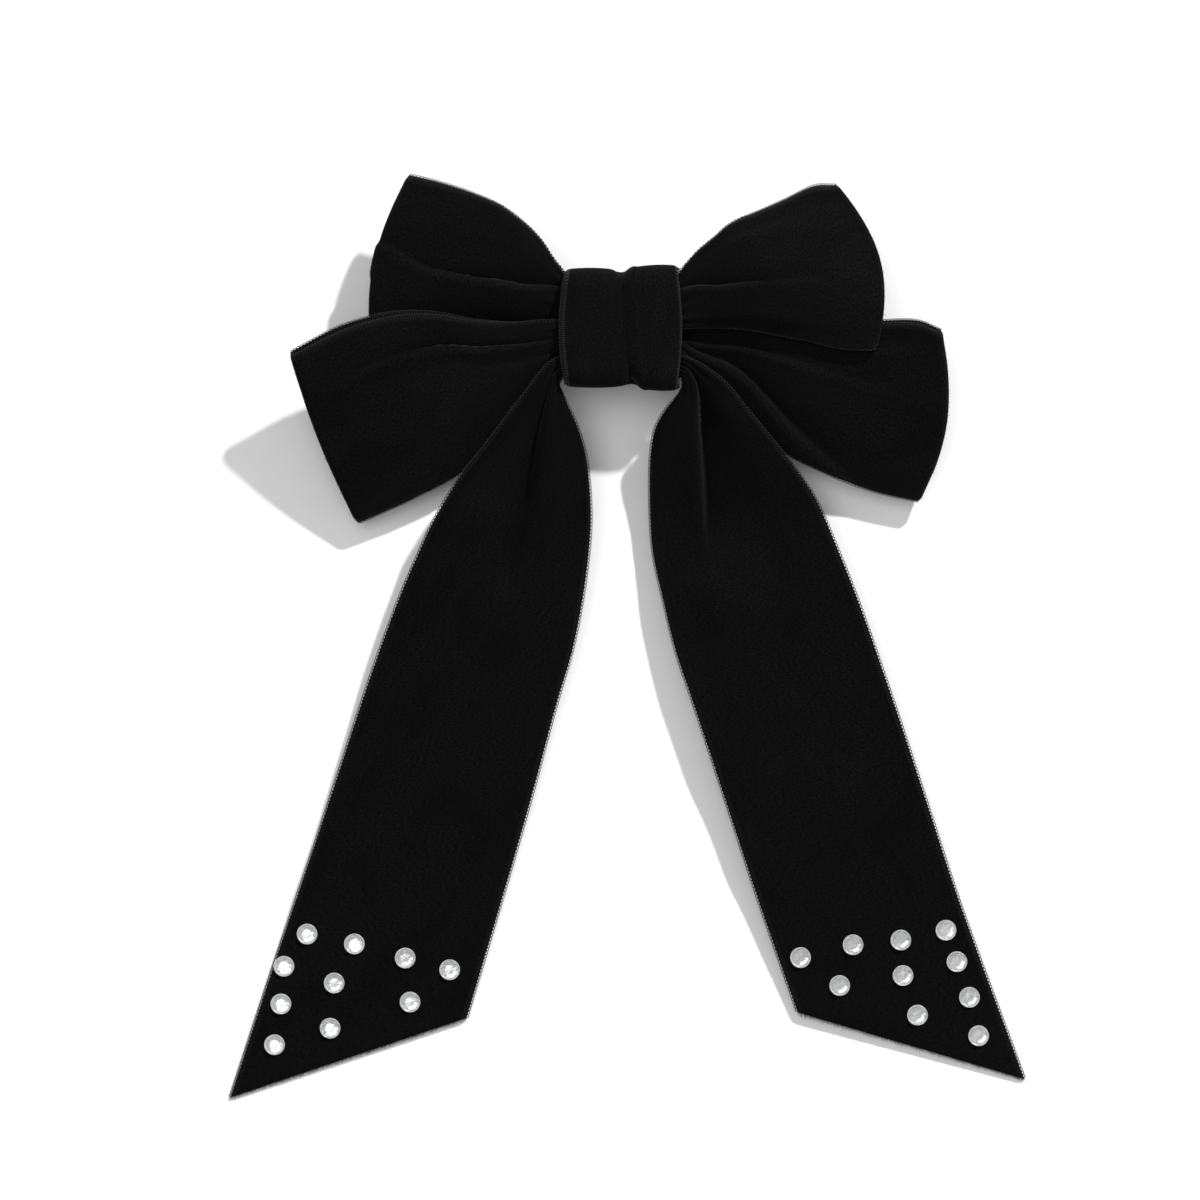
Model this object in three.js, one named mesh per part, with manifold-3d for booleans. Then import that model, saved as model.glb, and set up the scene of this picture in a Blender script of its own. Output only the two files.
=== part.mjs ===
// A velvet hair bow on a sprung barrette: two looped bow ribbons, a tail ribbon with glued stones,
// a knot band round the middle, and behind it a steel plate with a hinged clasp arm and a tension bar.
// The bow lies on its clip, face up. +X is along the clip, +Y towards the upper loops, +Z out of the face.
// The origin is the middle of the clasp arm's flat outer face, right under the knot. Units are millimetres.
import * as THREE from "three";
import { mergeVertices } from "three/addons/utils/BufferGeometryUtils.js";
import Module from "manifold-3d";

const wasm = await Module();
wasm.setup();

// ---- Driving dimensions ----

const RIBBON_WIDTH = 38; // velvet ribbon of the loops and the tails
const RIBBON_THICK = 0.9; // ground weave and pile together
const GATHERED_THICK = 2.9; // the most that one gathered layer may pile up to under the knot band
const LAYER_FRONT_Z = 13.9; // middle of the gathered front layer
const LAYER_BACK_Z = 10.6; // middle of the gathered back layer
const TAIL_GATHER_Z = 13.5;
const FOLD_RADIUS = 1.1; // pressed fold at a loop's outer end
const CLEARANCE = 0.3; // gap between pieces that touch on the real bow

const BAND_HALF_X = 11.2;
const BAND_THICK = 0.9;
const BAND_HALF_Y = 10.5; // inside of the band, from the middle to each side
const BAND_FRONT_Z = 15.65; // inside of the band's front
const BAND_BACK_Z = 7.25; // inside of the band's back, under the plate
const BAND_CORNER = 2.2;
const NECK_HALF_X = 1.5; // the binding thread lies in a waist this wide each way
const NECK_WIDTH = 0.9; // what is left of the gathers' width and thickness in the waist
const NECK_THICK = 0.7;
const NECK_DRAW = 0.3; // the two layers are drawn together by this much each
const THREAD_TURNS = 3;
const THREAD_THICK = 0.45;
const THREAD_CROWN = 0.15; // each turn stands this much higher in its middle
const THREAD_CORNER = 1.2;
const THREAD_ROOM = 0.4; // the turns start this far inside the gathers' full width

const PLATE_HALF = 38.6; // clip plate, from its middle to each end
const PLATE_HALF_Y = 4.5;
const PLATE_THICK = 0.8;
const PLATE_END_Z = 6.6; // underside at the ends
const PLATE_RISE = 1.3; // the middle is this much higher
const PLATE_MARGIN = 3.5; // cloth is held clear of the plate out to here beside it
const SEW_HOLE_X = 24;
const SEW_HOLE_RADIUS = 0.9;
const PIN_X = -36;
const PIN_Z = 3.3;
const PIN_RADIUS = 0.9;
const PIN_HEAD_RADIUS = 1.5;
const PIN_HEAD = 0.5;
const KNUCKLE_RADIUS = 1.75;
const EAR_INNER_Y = 3.6;
const EAR_THICK = 0.8;
const EAR_HALF_X = 2.1;
const ARM_HALF_Y = 3.3;
const ARM_THICK = 0.8;
const ARM_FLAT = 24; // the arm rests flat on the table out to here
const ARM_END_X = 40.4;
const ARM_END_Z = 2.6; // underside of the raised end that the catch holds
const BAR_KNUCKLE_Y = 1.7;
const BAR_KNUCKLE_RADIUS = 1.6;
const BAR_HALF_Y = 1.4;
const BAR_THICK = 0.45;
const BAR_END_X = 28;
const BAR_END_Z = 5.75;
const BAR_SHOULDER_X = -31;
const BAR_SHOULDER_Z = 5.3;
const BAR_MIDDLE_Z = 5.05;

const RIVET_X = 30.9;
const RIVET_RADIUS = 0.8;
const RIVET_HEAD_RADIUS = 1.5;
const RIVET_HEAD = 0.5;
const BRACKET_Z = 5.7; // underside of the catch bracket's base
const BRACKET_THICK = 0.55;
const BRACKET_HALF_Y = 2.9;
const TAB_X = 35.5; // middle of the release tabs along X
const TAB_HALF_X = 2;
const TAB_PIVOT_Y = 1.7;
const TAB_PIVOT_Z = 4.5;
const TAB_ROLL_RADIUS = 0.95;
const TAB_PIN_RADIUS = 0.4;
const TAB_HOLE_RADIUS = 0.65;
const TAB_THICK = 0.6;
const TAB_FOOT_Z = 1.4;
const TAB_PAD_Y = 5.6;
const WINDOW_HALF_Y = 2.35; // the arm's end has a window that the tabs' feet reach through

const STONE_RADIUS = 2;
const STONE_HEIGHT = 1.3;
const STONE_SIDES = 12;
const STONE_GLUE = 0.2;

const plateUnderside = (x) => PLATE_END_Z + PLATE_RISE * (1 - (x / PLATE_HALF) ** 2);

// ---- Materials ----

const surface = (color, roughness, metalness = 0) =>
  new THREE.MeshStandardMaterial({ color, roughness, metalness });
const VELVET = surface(0x0b0b0c, 0.95);
const THREAD = surface(0x101012, 0.8);
const STEEL = surface(0xb9bbbd, 0.3, 1);
const SPRING_STEEL = surface(0xa9adb2, 0.25, 1);
const CRYSTAL = surface(0xe9eef2, 0.05, 0.3);

const bow = new THREE.Group();

function addPiece(name, geometry, material) {
  const mesh = new THREE.Mesh(geometry, material);
  mesh.name = name;
  bow.add(mesh);
  return mesh;
}

// ---- Shapes and booleans ----

function toSolid(geometry) {
  const bare = geometry.index ? geometry.toNonIndexed() : geometry.clone();
  bare.deleteAttribute("normal");
  bare.deleteAttribute("uv");
  const merged = mergeVertices(bare, 1e-4);
  const vertProperties = new Float32Array(merged.getAttribute("position").array);
  const triVerts = new Uint32Array(merged.index.array);
  return new wasm.Manifold(new wasm.Mesh({ numProp: 3, vertProperties, triVerts }));
}

function toGeometry(solid) {
  const mesh = solid.getMesh();
  const geometry = new THREE.BufferGeometry();
  geometry.setAttribute("position", new THREE.BufferAttribute(mesh.vertProperties, 3));
  geometry.setIndex(new THREE.BufferAttribute(mesh.triVerts, 1));
  return geometry;
}

const unite = (...geometries) => geometries.map(toSolid).reduce((whole, one) => whole.add(one));
const cutAway = (whole, ...geometries) =>
  geometries.map(toSolid).reduce((rest, one) => rest.subtract(one), whole);

const box = (x0, x1, y0, y1, z0, z1) =>
  new THREE.BoxGeometry(x1 - x0, y1 - y0, z1 - z0).translate((x0 + x1) / 2, (y0 + y1) / 2, (z0 + z1) / 2);

// Cylinders along each axis, from one coordinate on that axis to another.
const rodX = (radius, x0, x1, y, z, sides = 16) =>
  new THREE.CylinderGeometry(radius, radius, x1 - x0, sides)
    .rotateZ(Math.PI / 2)
    .translate((x0 + x1) / 2, y, z);
const rodY = (radius, y0, y1, x, z, sides = 24) =>
  new THREE.CylinderGeometry(radius, radius, y1 - y0, sides).translate(x, (y0 + y1) / 2, z);
const rodZ = (radius, z0, z1, x, y, sides = 20) =>
  new THREE.CylinderGeometry(radius, radius, z1 - z0, sides)
    .rotateX(Math.PI / 2)
    .translate(x, y, (z0 + z1) / 2);

// Extrudes an outline of [x, z] points along Y, from -halfY to halfY.
function extrudeY(points, halfY) {
  const shape = new THREE.Shape(points.map(([x, z]) => new THREE.Vector2(x, z)));
  const geometry = new THREE.ExtrudeGeometry(shape, { depth: 2 * halfY, bevelEnabled: false });
  return geometry.rotateX(Math.PI / 2).translate(0, halfY, 0);
}

// A strip of even thickness whose underside runs through the given [x, z] points.
function strip(points, thick, halfY) {
  return extrudeY([...points, ...[...points].reverse().map(([x, z]) => [x, z + thick])], halfY);
}

// Even steps from one number to another, both included.
const range = (from, to, count) =>
  Array.from({ length: count + 1 }, (_, i) => from + ((to - from) * i) / count);

// A ring seen along X: a rounded rectangle in the YZ plane with walls of the given thickness.
function ringAlongX(halfY, z0, z1, corner, thick, x0, x1, bends = 6) {
  const outline = (grow) => {
    const [w, low, high, r] = [halfY + grow, z0 - grow, z1 + grow, corner + grow];
    const path = new THREE.Shape();
    path.moveTo(w, low + r);
    path.lineTo(w, high - r);
    path.absarc(w - r, high - r, r, 0, Math.PI / 2);
    path.lineTo(-w + r, high);
    path.absarc(-w + r, high - r, r, Math.PI / 2, Math.PI);
    path.lineTo(-w, low + r);
    path.absarc(-w + r, low + r, r, Math.PI, 1.5 * Math.PI);
    path.lineTo(w - r, low);
    path.absarc(w - r, low + r, r, 1.5 * Math.PI, 2 * Math.PI);
    return path;
  };
  const shape = outline(thick);
  shape.holes.push(new THREE.Path(outline(0).getPoints(bends).reverse()));
  const options = { depth: x1 - x0, bevelEnabled: false, curveSegments: bends };
  const geometry = new THREE.ExtrudeGeometry(shape, options);
  return geometry.rotateY(Math.PI / 2).rotateX(Math.PI / 2).translate(x0, 0, 0);
}

// ---- Ribbons ----

// A loop is its front layer's two edges, from the band out to the fold. The drops say how far the back layer
// lies under them half way along, and bow how far the fold bulges outwards between its corners.
const LOOPS = {
  upperLeft: {
    top: [[-11.9, 9.7, 13.9], [-17, 17.4, 15], [-29, 24.6, 16.3], [-41.3, 29.1, 15.5]],
    bottom: [[-11.9, 1.6, 13.9], [-18, 3, 11.9], [-28, 2.6, 11], [-38, 0.4, 10.4], [-48.6, -6, 9.8]],
    dropTop: 4,
    dropBottom: 1.9,
    bow: 3,
  },
  lowerLeft: {
    top: [
      [-11.9, 0.5, 13.9], [-19.2, 0.9, 15.2], [-28.7, 1.3, 16.8],
      [-41.1, 3, 18.6], [-54.6, -0.5, 19.2], [-64, -5.2, 18.4],
    ],
    bottom: [
      [-11.9, -4.2, 13.5], [-17, -10, 10.4], [-23.8, -17.8, 7.2],
      [-33.6, -28.9, 5.2], [-43.5, -33.8, 4.4], [-51.9, -37.6, 4],
    ],
    dropTop: 4,
    dropBottom: 2.6,
    bow: 1.6,
  },
  upperRight: {
    top: [[11.9, 9.7, 13.9], [18.3, 17.5, 15], [27, 22.3, 16], [36, 26.2, 15.6], [41.5, 27.2, 14]],
    bottom: [[11.9, 1.6, 13.9], [20, 1, 16], [28, -0.5, 17.6], [40.4, -2.9, 18.8], [49, -3.8, 19]],
    dropTop: 4,
    dropBottom: 2.2,
    bow: 3.2,
  },
  lowerRight: {
    top: [
      [11.9, 0.4, 13.9], [18, -1, 12.8], [30, -0.6, 12.4],
      [40, 0.4, 13], [50, 1.4, 14.8], [61, -0.5, 17.6],
    ],
    bottom: [
      [11.9, -4.2, 13.5], [16.5, -9.6, 10.4], [22, -15, 7.8],
      [31.7, -23.6, 5.6], [42.9, -29.8, 4.6], [57.5, -33.2, 4],
    ],
    dropTop: 2.6,
    dropBottom: 2.4,
    bow: 3,
  },
};
const LOOP_BELLY = 1.6; // how much a layer bulges between its edges half way along

// A tail is its two edges, from the band down to the slanted cut.
const TAILS = {
  left: {
    outer: [
      [-11.9, -5.5, 13.9], [-15, -7.6, 14.5], [-19, -11.5, 13.8], [-25.4, -19.6, 11.6],
      [-37.1, -38.3, 8], [-49.1, -67.6, 4.4], [-65.8, -116.8, 1.5], [-76.7, -150.2, 0.47],
    ],
    inner: [
      [-11.9, -9.4, 13.2], [-12.6, -12.6, 12.6], [-10, -17.4, 11.5], [-6.6, -25, 10],
      [-6, -38, 8.2], [-9.8, -62.7, 5], [-18, -92.2, 2.8], [-30.4, -135.2, 0.7],
    ],
  },
  right: {
    outer: [
      [11.9, -5.5, 13.9], [15, -7.4, 14.5], [19, -10.6, 13.8], [25, -15.9, 12],
      [37.9, -33.4, 8.6], [49.9, -62.7, 5], [67.9, -116.8, 1.7], [79, -146.5, 0.47],
    ],
    inner: [
      [11.9, -9.4, 13.2], [12.6, -12.6, 12.6], [9.2, -17.4, 11.6], [5.6, -25, 10.6],
      [5.6, -40, 8.8], [10.6, -62.7, 6], [20.4, -92.2, 3.4], [34.5, -133.3, 0.7],
    ],
  },
};
const TAIL_SWELL = { height: 1.2, at: 0.25, length: 0.16 }; // the rise below the knot, in parts of the tail

function curveThrough(points) {
  return new THREE.CatmullRomCurve3(points.map((p) => new THREE.Vector3(...p)), false, "centripetal");
}

for (const tail of Object.values(TAILS)) {
  tail.outerCurve = curveThrough(tail.outer);
  tail.innerCurve = curveThrough(tail.inner);
}

// The gathered cross-sections under the band, from low Y to high Y.
const GATHERS = {
  upper: [1.5, 9.7],
  lower: [-4.3, 0.6],
  tail: [-9.7, -5.3],
};

// 1 in the middle of the waist and 0 outside it.
const inWaist = (x) => Math.max(0, 1 - (x / (2 * NECK_HALF_X)) ** 2);

// Stations across a layer's width: fractions from the lower edge to the upper one.
const ACROSS = [0, 0.2, 0.4, 0.6, 0.8, 1];

const rowWidth = (row) => row.slice(1).reduce((sum, p, i) => sum + p.distanceTo(row[i]), 0);

// Thickness of the cloth in a row: the whole ribbon's section, squeezed into the row's width.
function rowThickness(row) {
  const piled = Math.min(GATHERED_THICK, (RIBBON_THICK * RIBBON_WIDTH) / rowWidth(row));
  const waist = row.every((p) => p.x === row[0].x) ? inWaist(row[0].x) : 0;
  return piled * (1 - (1 - NECK_THICK) * waist);
}

// Lifts the points of a row that lie over the clip's plate clear of the plate and its rivet.
function liftOffPlate(row) {
  const clear = PLATE_THICK + RIVET_HEAD + 2 * CLEARANCE + rowThickness(row) / 2;
  for (const p of row) {
    const beside = Math.max(Math.abs(p.y) - PLATE_HALF_Y, Math.abs(p.x) - PLATE_HALF);
    const floor = plateUnderside(Math.min(Math.abs(p.x), PLATE_HALF)) + clear;
    if (beside < PLATE_MARGIN) p.z = Math.max(p.z, floor);
  }
  return row;
}

// One row of a loop's layer at u, from 0 at the band to 1 at the fold.
// Side is 1 for the front layer and -1 for the back one.
function loopRow(loop, curves, u, side) {
  const top = curves.top.getPointAt(u);
  const bottom = curves.bottom.getPointAt(u);
  const drop = side > 0 ? 0 : Math.sin(Math.PI * Math.min(1, u * 1.02)) ** 0.8; // fuller than a sine
  const spread = (1 - u) ** 3; // the two layers' distance where they leave the band
  const row = ACROSS.map((v) => {
    const point = bottom.clone().lerp(top, v);
    const belly = LOOP_BELLY * Math.sin(Math.PI * v) * Math.sin(Math.PI * u);
    point.addScaledVector(curves.axis, loop.bow * Math.sin(Math.PI * v) * u * u);
    point.z += side > 0 ? belly : -0.6 * belly;
    point.z -= drop * THREE.MathUtils.lerp(loop.dropBottom, loop.dropTop, v);
    if (side < 0) point.z -= spread * (LAYER_FRONT_Z - LAYER_BACK_Z);
    point.z += side * FOLD_RADIUS * u ** 4;
    return point;
  });
  return side < 0 && u > 0 ? liftOffPlate(row) : row;
}

// The rows round a loop's fold, from its front layer to its back layer.
function foldRows(loop, curves) {
  const top = curves.top.getPointAt(1);
  const bottom = curves.bottom.getPointAt(1);
  return [0.25, 0.5, 0.75].map((turn) =>
    ACROSS.map((v) => {
      const point = bottom.clone().lerp(top, v);
      const outwards = loop.bow * Math.sin(Math.PI * v) + FOLD_RADIUS * Math.sin(Math.PI * turn);
      point.addScaledVector(curves.axis, outwards);
      point.z += FOLD_RADIUS * Math.cos(Math.PI * turn);
      return point;
    })
  );
}

function curvesOf(loop) {
  const top = curveThrough(loop.top);
  const bottom = curveThrough(loop.bottom);
  const fold = top.getPointAt(1).add(bottom.getPointAt(1)).multiplyScalar(0.5);
  const start = top.getPointAt(0).add(bottom.getPointAt(0)).multiplyScalar(0.5);
  const axis = fold.sub(start).setZ(0).normalize();
  return { top, bottom, axis };
}

// A row of the gathered part under the band.
function gatherRow([low, high], x, z) {
  const waist = inWaist(x);
  const squeeze = 1 - (1 - NECK_WIDTH) * waist;
  const drawn = Math.sign((LAYER_FRONT_Z + LAYER_BACK_Z) / 2 - z) * NECK_DRAW * waist;
  return ACROSS.map((v) => new THREE.Vector3(x, THREE.MathUtils.lerp(low, high, v) * squeeze, z + drawn));
}

const ROUNDED_FROM = 0.7; // gathers thicker than this each way are rounded at their sides

// A closed solid from rows of centre points, each thickened along its normal.
// A ring's last row meets its first.
function clothSolid(rows, ring) {
  const count = rows.length;
  const wide = ACROSS.length;
  const at = (i, j) => {
    const row = ring ? (i + count) % count : THREE.MathUtils.clamp(i, 0, count - 1);
    return rows[row][THREE.MathUtils.clamp(j, 0, wide - 1)];
  };
  const positions = [];
  for (const side of [1, -1])
    for (let i = 0; i < count; i++) {
      const half = rowThickness(rows[i]) / 2;
      for (let j = 0; j < wide; j++) {
        const along = at(i + 1, j).clone().sub(at(i - 1, j));
        const across = at(i, j + 1).clone().sub(at(i, j - 1));
        const normal = along.cross(across).normalize();
        const thinned = half > ROUNDED_FROM ? 1 - 0.45 * Math.abs(2 * ACROSS[j] - 1) ** 3 : 1;
        positions.push(...at(i, j).clone().addScaledVector(normal, side * half * thinned).toArray());
      }
    }
  const index = [];
  const quad = (a, b, c, d) => index.push(a, b, c, a, c, d);
  const upper = (i, j) => ((i + count) % count) * wide + j;
  const under = (i, j) => count * wide + upper(i, j);
  const spans = ring ? count : count - 1;
  for (let i = 0; i < spans; i++) {
    for (let j = 0; j < wide - 1; j++) {
      quad(upper(i, j), upper(i + 1, j), upper(i + 1, j + 1), upper(i, j + 1));
      quad(under(i, j), under(i, j + 1), under(i + 1, j + 1), under(i + 1, j));
    }
    quad(upper(i, 0), under(i, 0), under(i + 1, 0), upper(i + 1, 0));
    quad(upper(i, wide - 1), upper(i + 1, wide - 1), under(i + 1, wide - 1), under(i, wide - 1));
  }
  if (!ring)
    for (let j = 0; j < wide - 1; j++) {
      quad(upper(0, j), upper(0, j + 1), under(0, j + 1), under(0, j));
      quad(upper(count - 1, j), under(count - 1, j), under(count - 1, j + 1), upper(count - 1, j + 1));
    }
  const geometry = new THREE.BufferGeometry();
  geometry.setAttribute("position", new THREE.Float32BufferAttribute(positions, 3));
  geometry.setIndex(index);
  return geometry;
}

const GATHER_X = [0, 1.5, 3, 6.5, 10.5]; // stations under the band
const LOOP_STEPS = 9;

// A bow ribbon is one ring: out along the right front, back under it, then the same on the left.
function bowRibbon(section, left, right) {
  const [leftCurves, rightCurves] = [curvesOf(left), curvesOf(right)];
  const outwards = range(0, 1, LOOP_STEPS);
  const inwards = [...outwards].reverse();
  const rows = [
    ...GATHER_X.map((x) => gatherRow(section, x, LAYER_FRONT_Z)),
    ...outwards.map((u) => loopRow(right, rightCurves, u, 1)),
    ...foldRows(right, rightCurves),
    ...inwards.map((u) => loopRow(right, rightCurves, u, -1)),
    ...[...GATHER_X].reverse().map((x) => gatherRow(section, x, LAYER_BACK_Z)),
    ...GATHER_X.slice(1).map((x) => gatherRow(section, -x, LAYER_BACK_Z)),
    ...outwards.map((u) => loopRow(left, leftCurves, u, -1)),
    ...foldRows(left, leftCurves).reverse(),
    ...inwards.map((u) => loopRow(left, leftCurves, u, 1)),
    ...[...GATHER_X].reverse().slice(0, -1).map((x) => gatherRow(section, -x, LAYER_FRONT_Z)),
  ];
  return clothSolid(rows, true);
}

const TAIL_STEPS = 16;
const tailStations = () => range(0, 1, TAIL_STEPS).map((t) => t ** 1.5); // closer together near the band

function tailRow(tail, u) {
  const outer = tail.outerCurve.getPointAt(u);
  const inner = tail.innerCurve.getPointAt(u);
  const swell = TAIL_SWELL.height * Math.exp(-(((u - TAIL_SWELL.at) / TAIL_SWELL.length) ** 2));
  return ACROSS.map((v) => {
    const point = inner.clone().lerp(outer, v);
    point.z += swell * Math.sin(Math.PI * v);
    return point;
  });
}

function tailRibbon() {
  const middle = GATHER_X.slice(1);
  const rows = [
    ...tailStations().reverse().map((u) => tailRow(TAILS.left, u)),
    ...[...middle].reverse().map((x) => gatherRow(GATHERS.tail, -x, TAIL_GATHER_Z)),
    ...GATHER_X.map((x) => gatherRow(GATHERS.tail, x, TAIL_GATHER_Z)),
    ...tailStations().map((u) => tailRow(TAILS.right, u)),
  ];
  return clothSolid(rows, false);
}

// The band is a short ribbon wrapped round the gathers and the clip's plate, with its ends glued at the back.
const knotBand = () =>
  ringAlongX(BAND_HALF_Y, BAND_BACK_Z, BAND_FRONT_Z, BAND_CORNER, BAND_THICK, -BAND_HALF_X, BAND_HALF_X);

// Turns of thread, side by side, round the waist of all three gathered ribbons.
function bindingThread() {
  const drawn = (GATHERED_THICK * NECK_THICK) / 2 - NECK_DRAW;
  const halfY = GATHERS.upper[1] - THREAD_ROOM;
  const bottom = LAYER_BACK_Z - drawn - CLEARANCE;
  const top = LAYER_FRONT_Z + drawn + CLEARANCE;
  const width = (2 * (NECK_HALF_X - CLEARANCE)) / THREAD_TURNS;
  const reach = ((THREAD_TURNS - 1) / 2) * width;
  const hoop = (thick, x0, x1) => ringAlongX(halfY, bottom, top, THREAD_CORNER, thick, x0, x1, 3);
  const turns = range(-reach, reach, THREAD_TURNS - 1).map((x) => {
    const low = hoop(THREAD_THICK - THREAD_CROWN, x - width / 2, x + width / 2);
    const crown = hoop(THREAD_THICK, x - width / 4, x + width / 4);
    return unite(low, crown);
  });
  return toGeometry(turns.reduce((whole, one) => whole.add(one)));
}

// ---- Stones ----

// Where the stones are glued on the tails' ends, as [x, y].
const STONES = {
  left: [
    [-61.8, -118.6], [-52.5, -120.6], [-66.3, -125.1], [-42.5, -123.5], [-33.8, -125.7],
    [-56.5, -128.2], [-66.9, -132.5], [-41.6, -132], [-57.3, -137.1], [-68.2, -140.4],
  ],
  right: [
    [35, -123.3], [45.3, -120.8], [54.7, -119.8], [63.5, -118], [42.7, -128.8],
    [55.1, -126.9], [65.7, -124.1], [68.2, -131], [58, -134.5], [70, -138.6],
  ],
};

// The point of a tail's middle surface over [x, y], and the surface's normal there.
function spotOnTail(tail, [x, y]) {
  let best = null;
  for (const u of range(0.6, 1, 200)) {
    const outer = tail.outerCurve.getPointAt(u);
    const inner = tail.innerCurve.getPointAt(u);
    const across = outer.clone().sub(inner);
    const v = ((x - inner.x) * across.x + (y - inner.y) * across.y) / (across.x ** 2 + across.y ** 2);
    const point = inner.clone().addScaledVector(across, v);
    const miss = Math.hypot(point.x - x, point.y - y);
    if (!best || miss < best.miss) best = { miss, point, across, u };
  }
  const ahead = tail.outerCurve.getTangentAt(best.u).add(tail.innerCurve.getTangentAt(best.u));
  const normal = ahead.cross(best.across).normalize();
  if (normal.z < 0) normal.negate();
  return { point: best.point, normal };
}

// A round cut stone, flat behind, with a crown of facets round a table.
function stone() {
  const profile = [
    [0, 0],
    [STONE_RADIUS, 0],
    [STONE_RADIUS, 0.18 * STONE_HEIGHT],
    [0.78 * STONE_RADIUS, 0.68 * STONE_HEIGHT],
    [0.4 * STONE_RADIUS, STONE_HEIGHT],
    [0, STONE_HEIGHT],
  ];
  const turned = new THREE.LatheGeometry(profile.map(([r, h]) => new THREE.Vector2(r, h)), STONE_SIDES);
  return turned.rotateX(Math.PI / 2);
}

function addStones(side, tail) {
  STONES[side].forEach((place, i) => {
    const { point, normal } = spotOnTail(tail, place);
    const mesh = addPiece(`rhinestone_${side}_${String(i + 1).padStart(2, "0")}`, stone(), CRYSTAL);
    mesh.quaternion.setFromUnitVectors(new THREE.Vector3(0, 0, 1), normal);
    mesh.position.copy(point).addScaledVector(normal, RIBBON_THICK / 2 + STONE_GLUE);
  });
}

// ---- Clip ----

// The arched plate, with an ear on each side of the hinge.
function barrettePlate() {
  const underside = range(-PLATE_HALF, PLATE_HALF, 20).map((x) => [x, plateUnderside(x)]);
  const arch = strip(underside, PLATE_THICK, PLATE_HALF_Y);
  const earTop = plateUnderside(PIN_X) + PLATE_THICK / 2;
  const ear = (y0) => [
    box(PIN_X - EAR_HALF_X, PIN_X + EAR_HALF_X, y0, y0 + EAR_THICK, PIN_Z, earTop),
    rodY(EAR_HALF_X, y0, y0 + EAR_THICK, PIN_X, PIN_Z),
  ];
  const body = unite(arch, ...ear(EAR_INNER_Y), ...ear(-EAR_INNER_Y - EAR_THICK));
  const reach = EAR_INNER_Y + 2 * EAR_THICK;
  const holes = [
    rodY(PIN_RADIUS + CLEARANCE, -reach, reach, PIN_X, PIN_Z),
    rodZ(RIVET_RADIUS + CLEARANCE, 0, 10, RIVET_X, 0),
    rodZ(SEW_HOLE_RADIUS, 0, 10, SEW_HOLE_X, 0),
    rodZ(SEW_HOLE_RADIUS, 0, 10, -SEW_HOLE_X, 0),
  ];
  return toGeometry(cutAway(body, ...holes));
}

// The hinge pin, headed at both ends outside the ears.
function hingePin() {
  const face = EAR_INNER_Y + EAR_THICK + CLEARANCE;
  const shank = rodY(PIN_RADIUS, -face, face, PIN_X, PIN_Z);
  const heads = [face, -face - PIN_HEAD].map((y) => rodY(PIN_HEAD_RADIUS, y, y + PIN_HEAD, PIN_X, PIN_Z));
  return toGeometry(unite(shank, ...heads));
}

// The clasp arm: flat in the middle, raised at both ends, two knuckles on the pin, a window for the catch.
function claspArm() {
  const underside = [
    [PIN_X + 1, 1.7],
    [-30.5, 1.35],
    [-ARM_FLAT, 0],
    [ARM_FLAT, 0],
    [31, ARM_END_Z],
    [ARM_END_X, ARM_END_Z],
  ];
  const tongue = strip(underside, ARM_THICK, ARM_HALF_Y);
  const body = unite(tongue, rodY(KNUCKLE_RADIUS, -ARM_HALF_Y, ARM_HALF_Y, PIN_X, PIN_Z));
  const slotY = BAR_KNUCKLE_Y + CLEARANCE;
  const windowX = TAB_HALF_X + 2 * CLEARANCE;
  const holes = [
    rodY(PIN_RADIUS + CLEARANCE, -5, 5, PIN_X, PIN_Z),
    box(PIN_X - 3, PIN_X + 4.5, -slotY, slotY, 0, 6),
    box(TAB_X - windowX, TAB_X + windowX, -WINDOW_HALF_Y, WINDOW_HALF_Y, 1, 5),
  ];
  return toGeometry(cutAway(body, ...holes));
}

// The tension bar: a thin spring strip on the same pin that presses the hair against the arm.
function tensionBar() {
  const sag = (x) => {
    const way = (x - BAR_SHOULDER_X) / (BAR_END_X - BAR_SHOULDER_X);
    const chord = THREE.MathUtils.lerp(BAR_SHOULDER_Z, BAR_END_Z, way);
    return chord - (2 * (BAR_SHOULDER_Z + BAR_END_Z) - 4 * BAR_MIDDLE_Z) * way * (1 - way);
  };
  const underside = [[PIN_X, PIN_Z + BAR_KNUCKLE_RADIUS - BAR_THICK]];
  underside.push(...range(BAR_SHOULDER_X, BAR_END_X, 14).map((x) => [x, sag(x)]));
  const tongue = strip(underside, BAR_THICK, BAR_HALF_Y);
  const knuckle = rodY(BAR_KNUCKLE_RADIUS, -BAR_KNUCKLE_Y, BAR_KNUCKLE_Y, PIN_X, PIN_Z);
  return toGeometry(cutAway(unite(tongue, knuckle), rodY(PIN_RADIUS + CLEARANCE, -5, 5, PIN_X, PIN_Z)));
}

const LUG_THICK = 0.5;
const lugX = TAB_HALF_X + CLEARANCE;

// The catch bracket: a base riveted under the plate, with a lug at each end of the release tabs.
function catchBracket() {
  const [far, near] = [TAB_X + lugX + LUG_THICK, TAB_X - lugX - LUG_THICK];
  const base = box(RIVET_X - 2, far, -BRACKET_HALF_Y, BRACKET_HALF_Y, BRACKET_Z, BRACKET_Z + BRACKET_THICK);
  const foot = TAB_PIVOT_Z - TAB_ROLL_RADIUS + 0.15;
  const lugs = [near, far - LUG_THICK].map((x) =>
    box(x, x + LUG_THICK, -BRACKET_HALF_Y, BRACKET_HALF_Y, foot, BRACKET_Z + BRACKET_THICK / 2)
  );
  const holes = [rodZ(RIVET_RADIUS + CLEARANCE, 4, 8, RIVET_X, 0)];
  for (const y of [TAB_PIVOT_Y, -TAB_PIVOT_Y]) {
    holes.push(rodX(TAB_HOLE_RADIUS, near - 1, far + 1, y, TAB_PIVOT_Z));
  }
  return toGeometry(cutAway(unite(base, ...lugs), ...holes));
}

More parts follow.
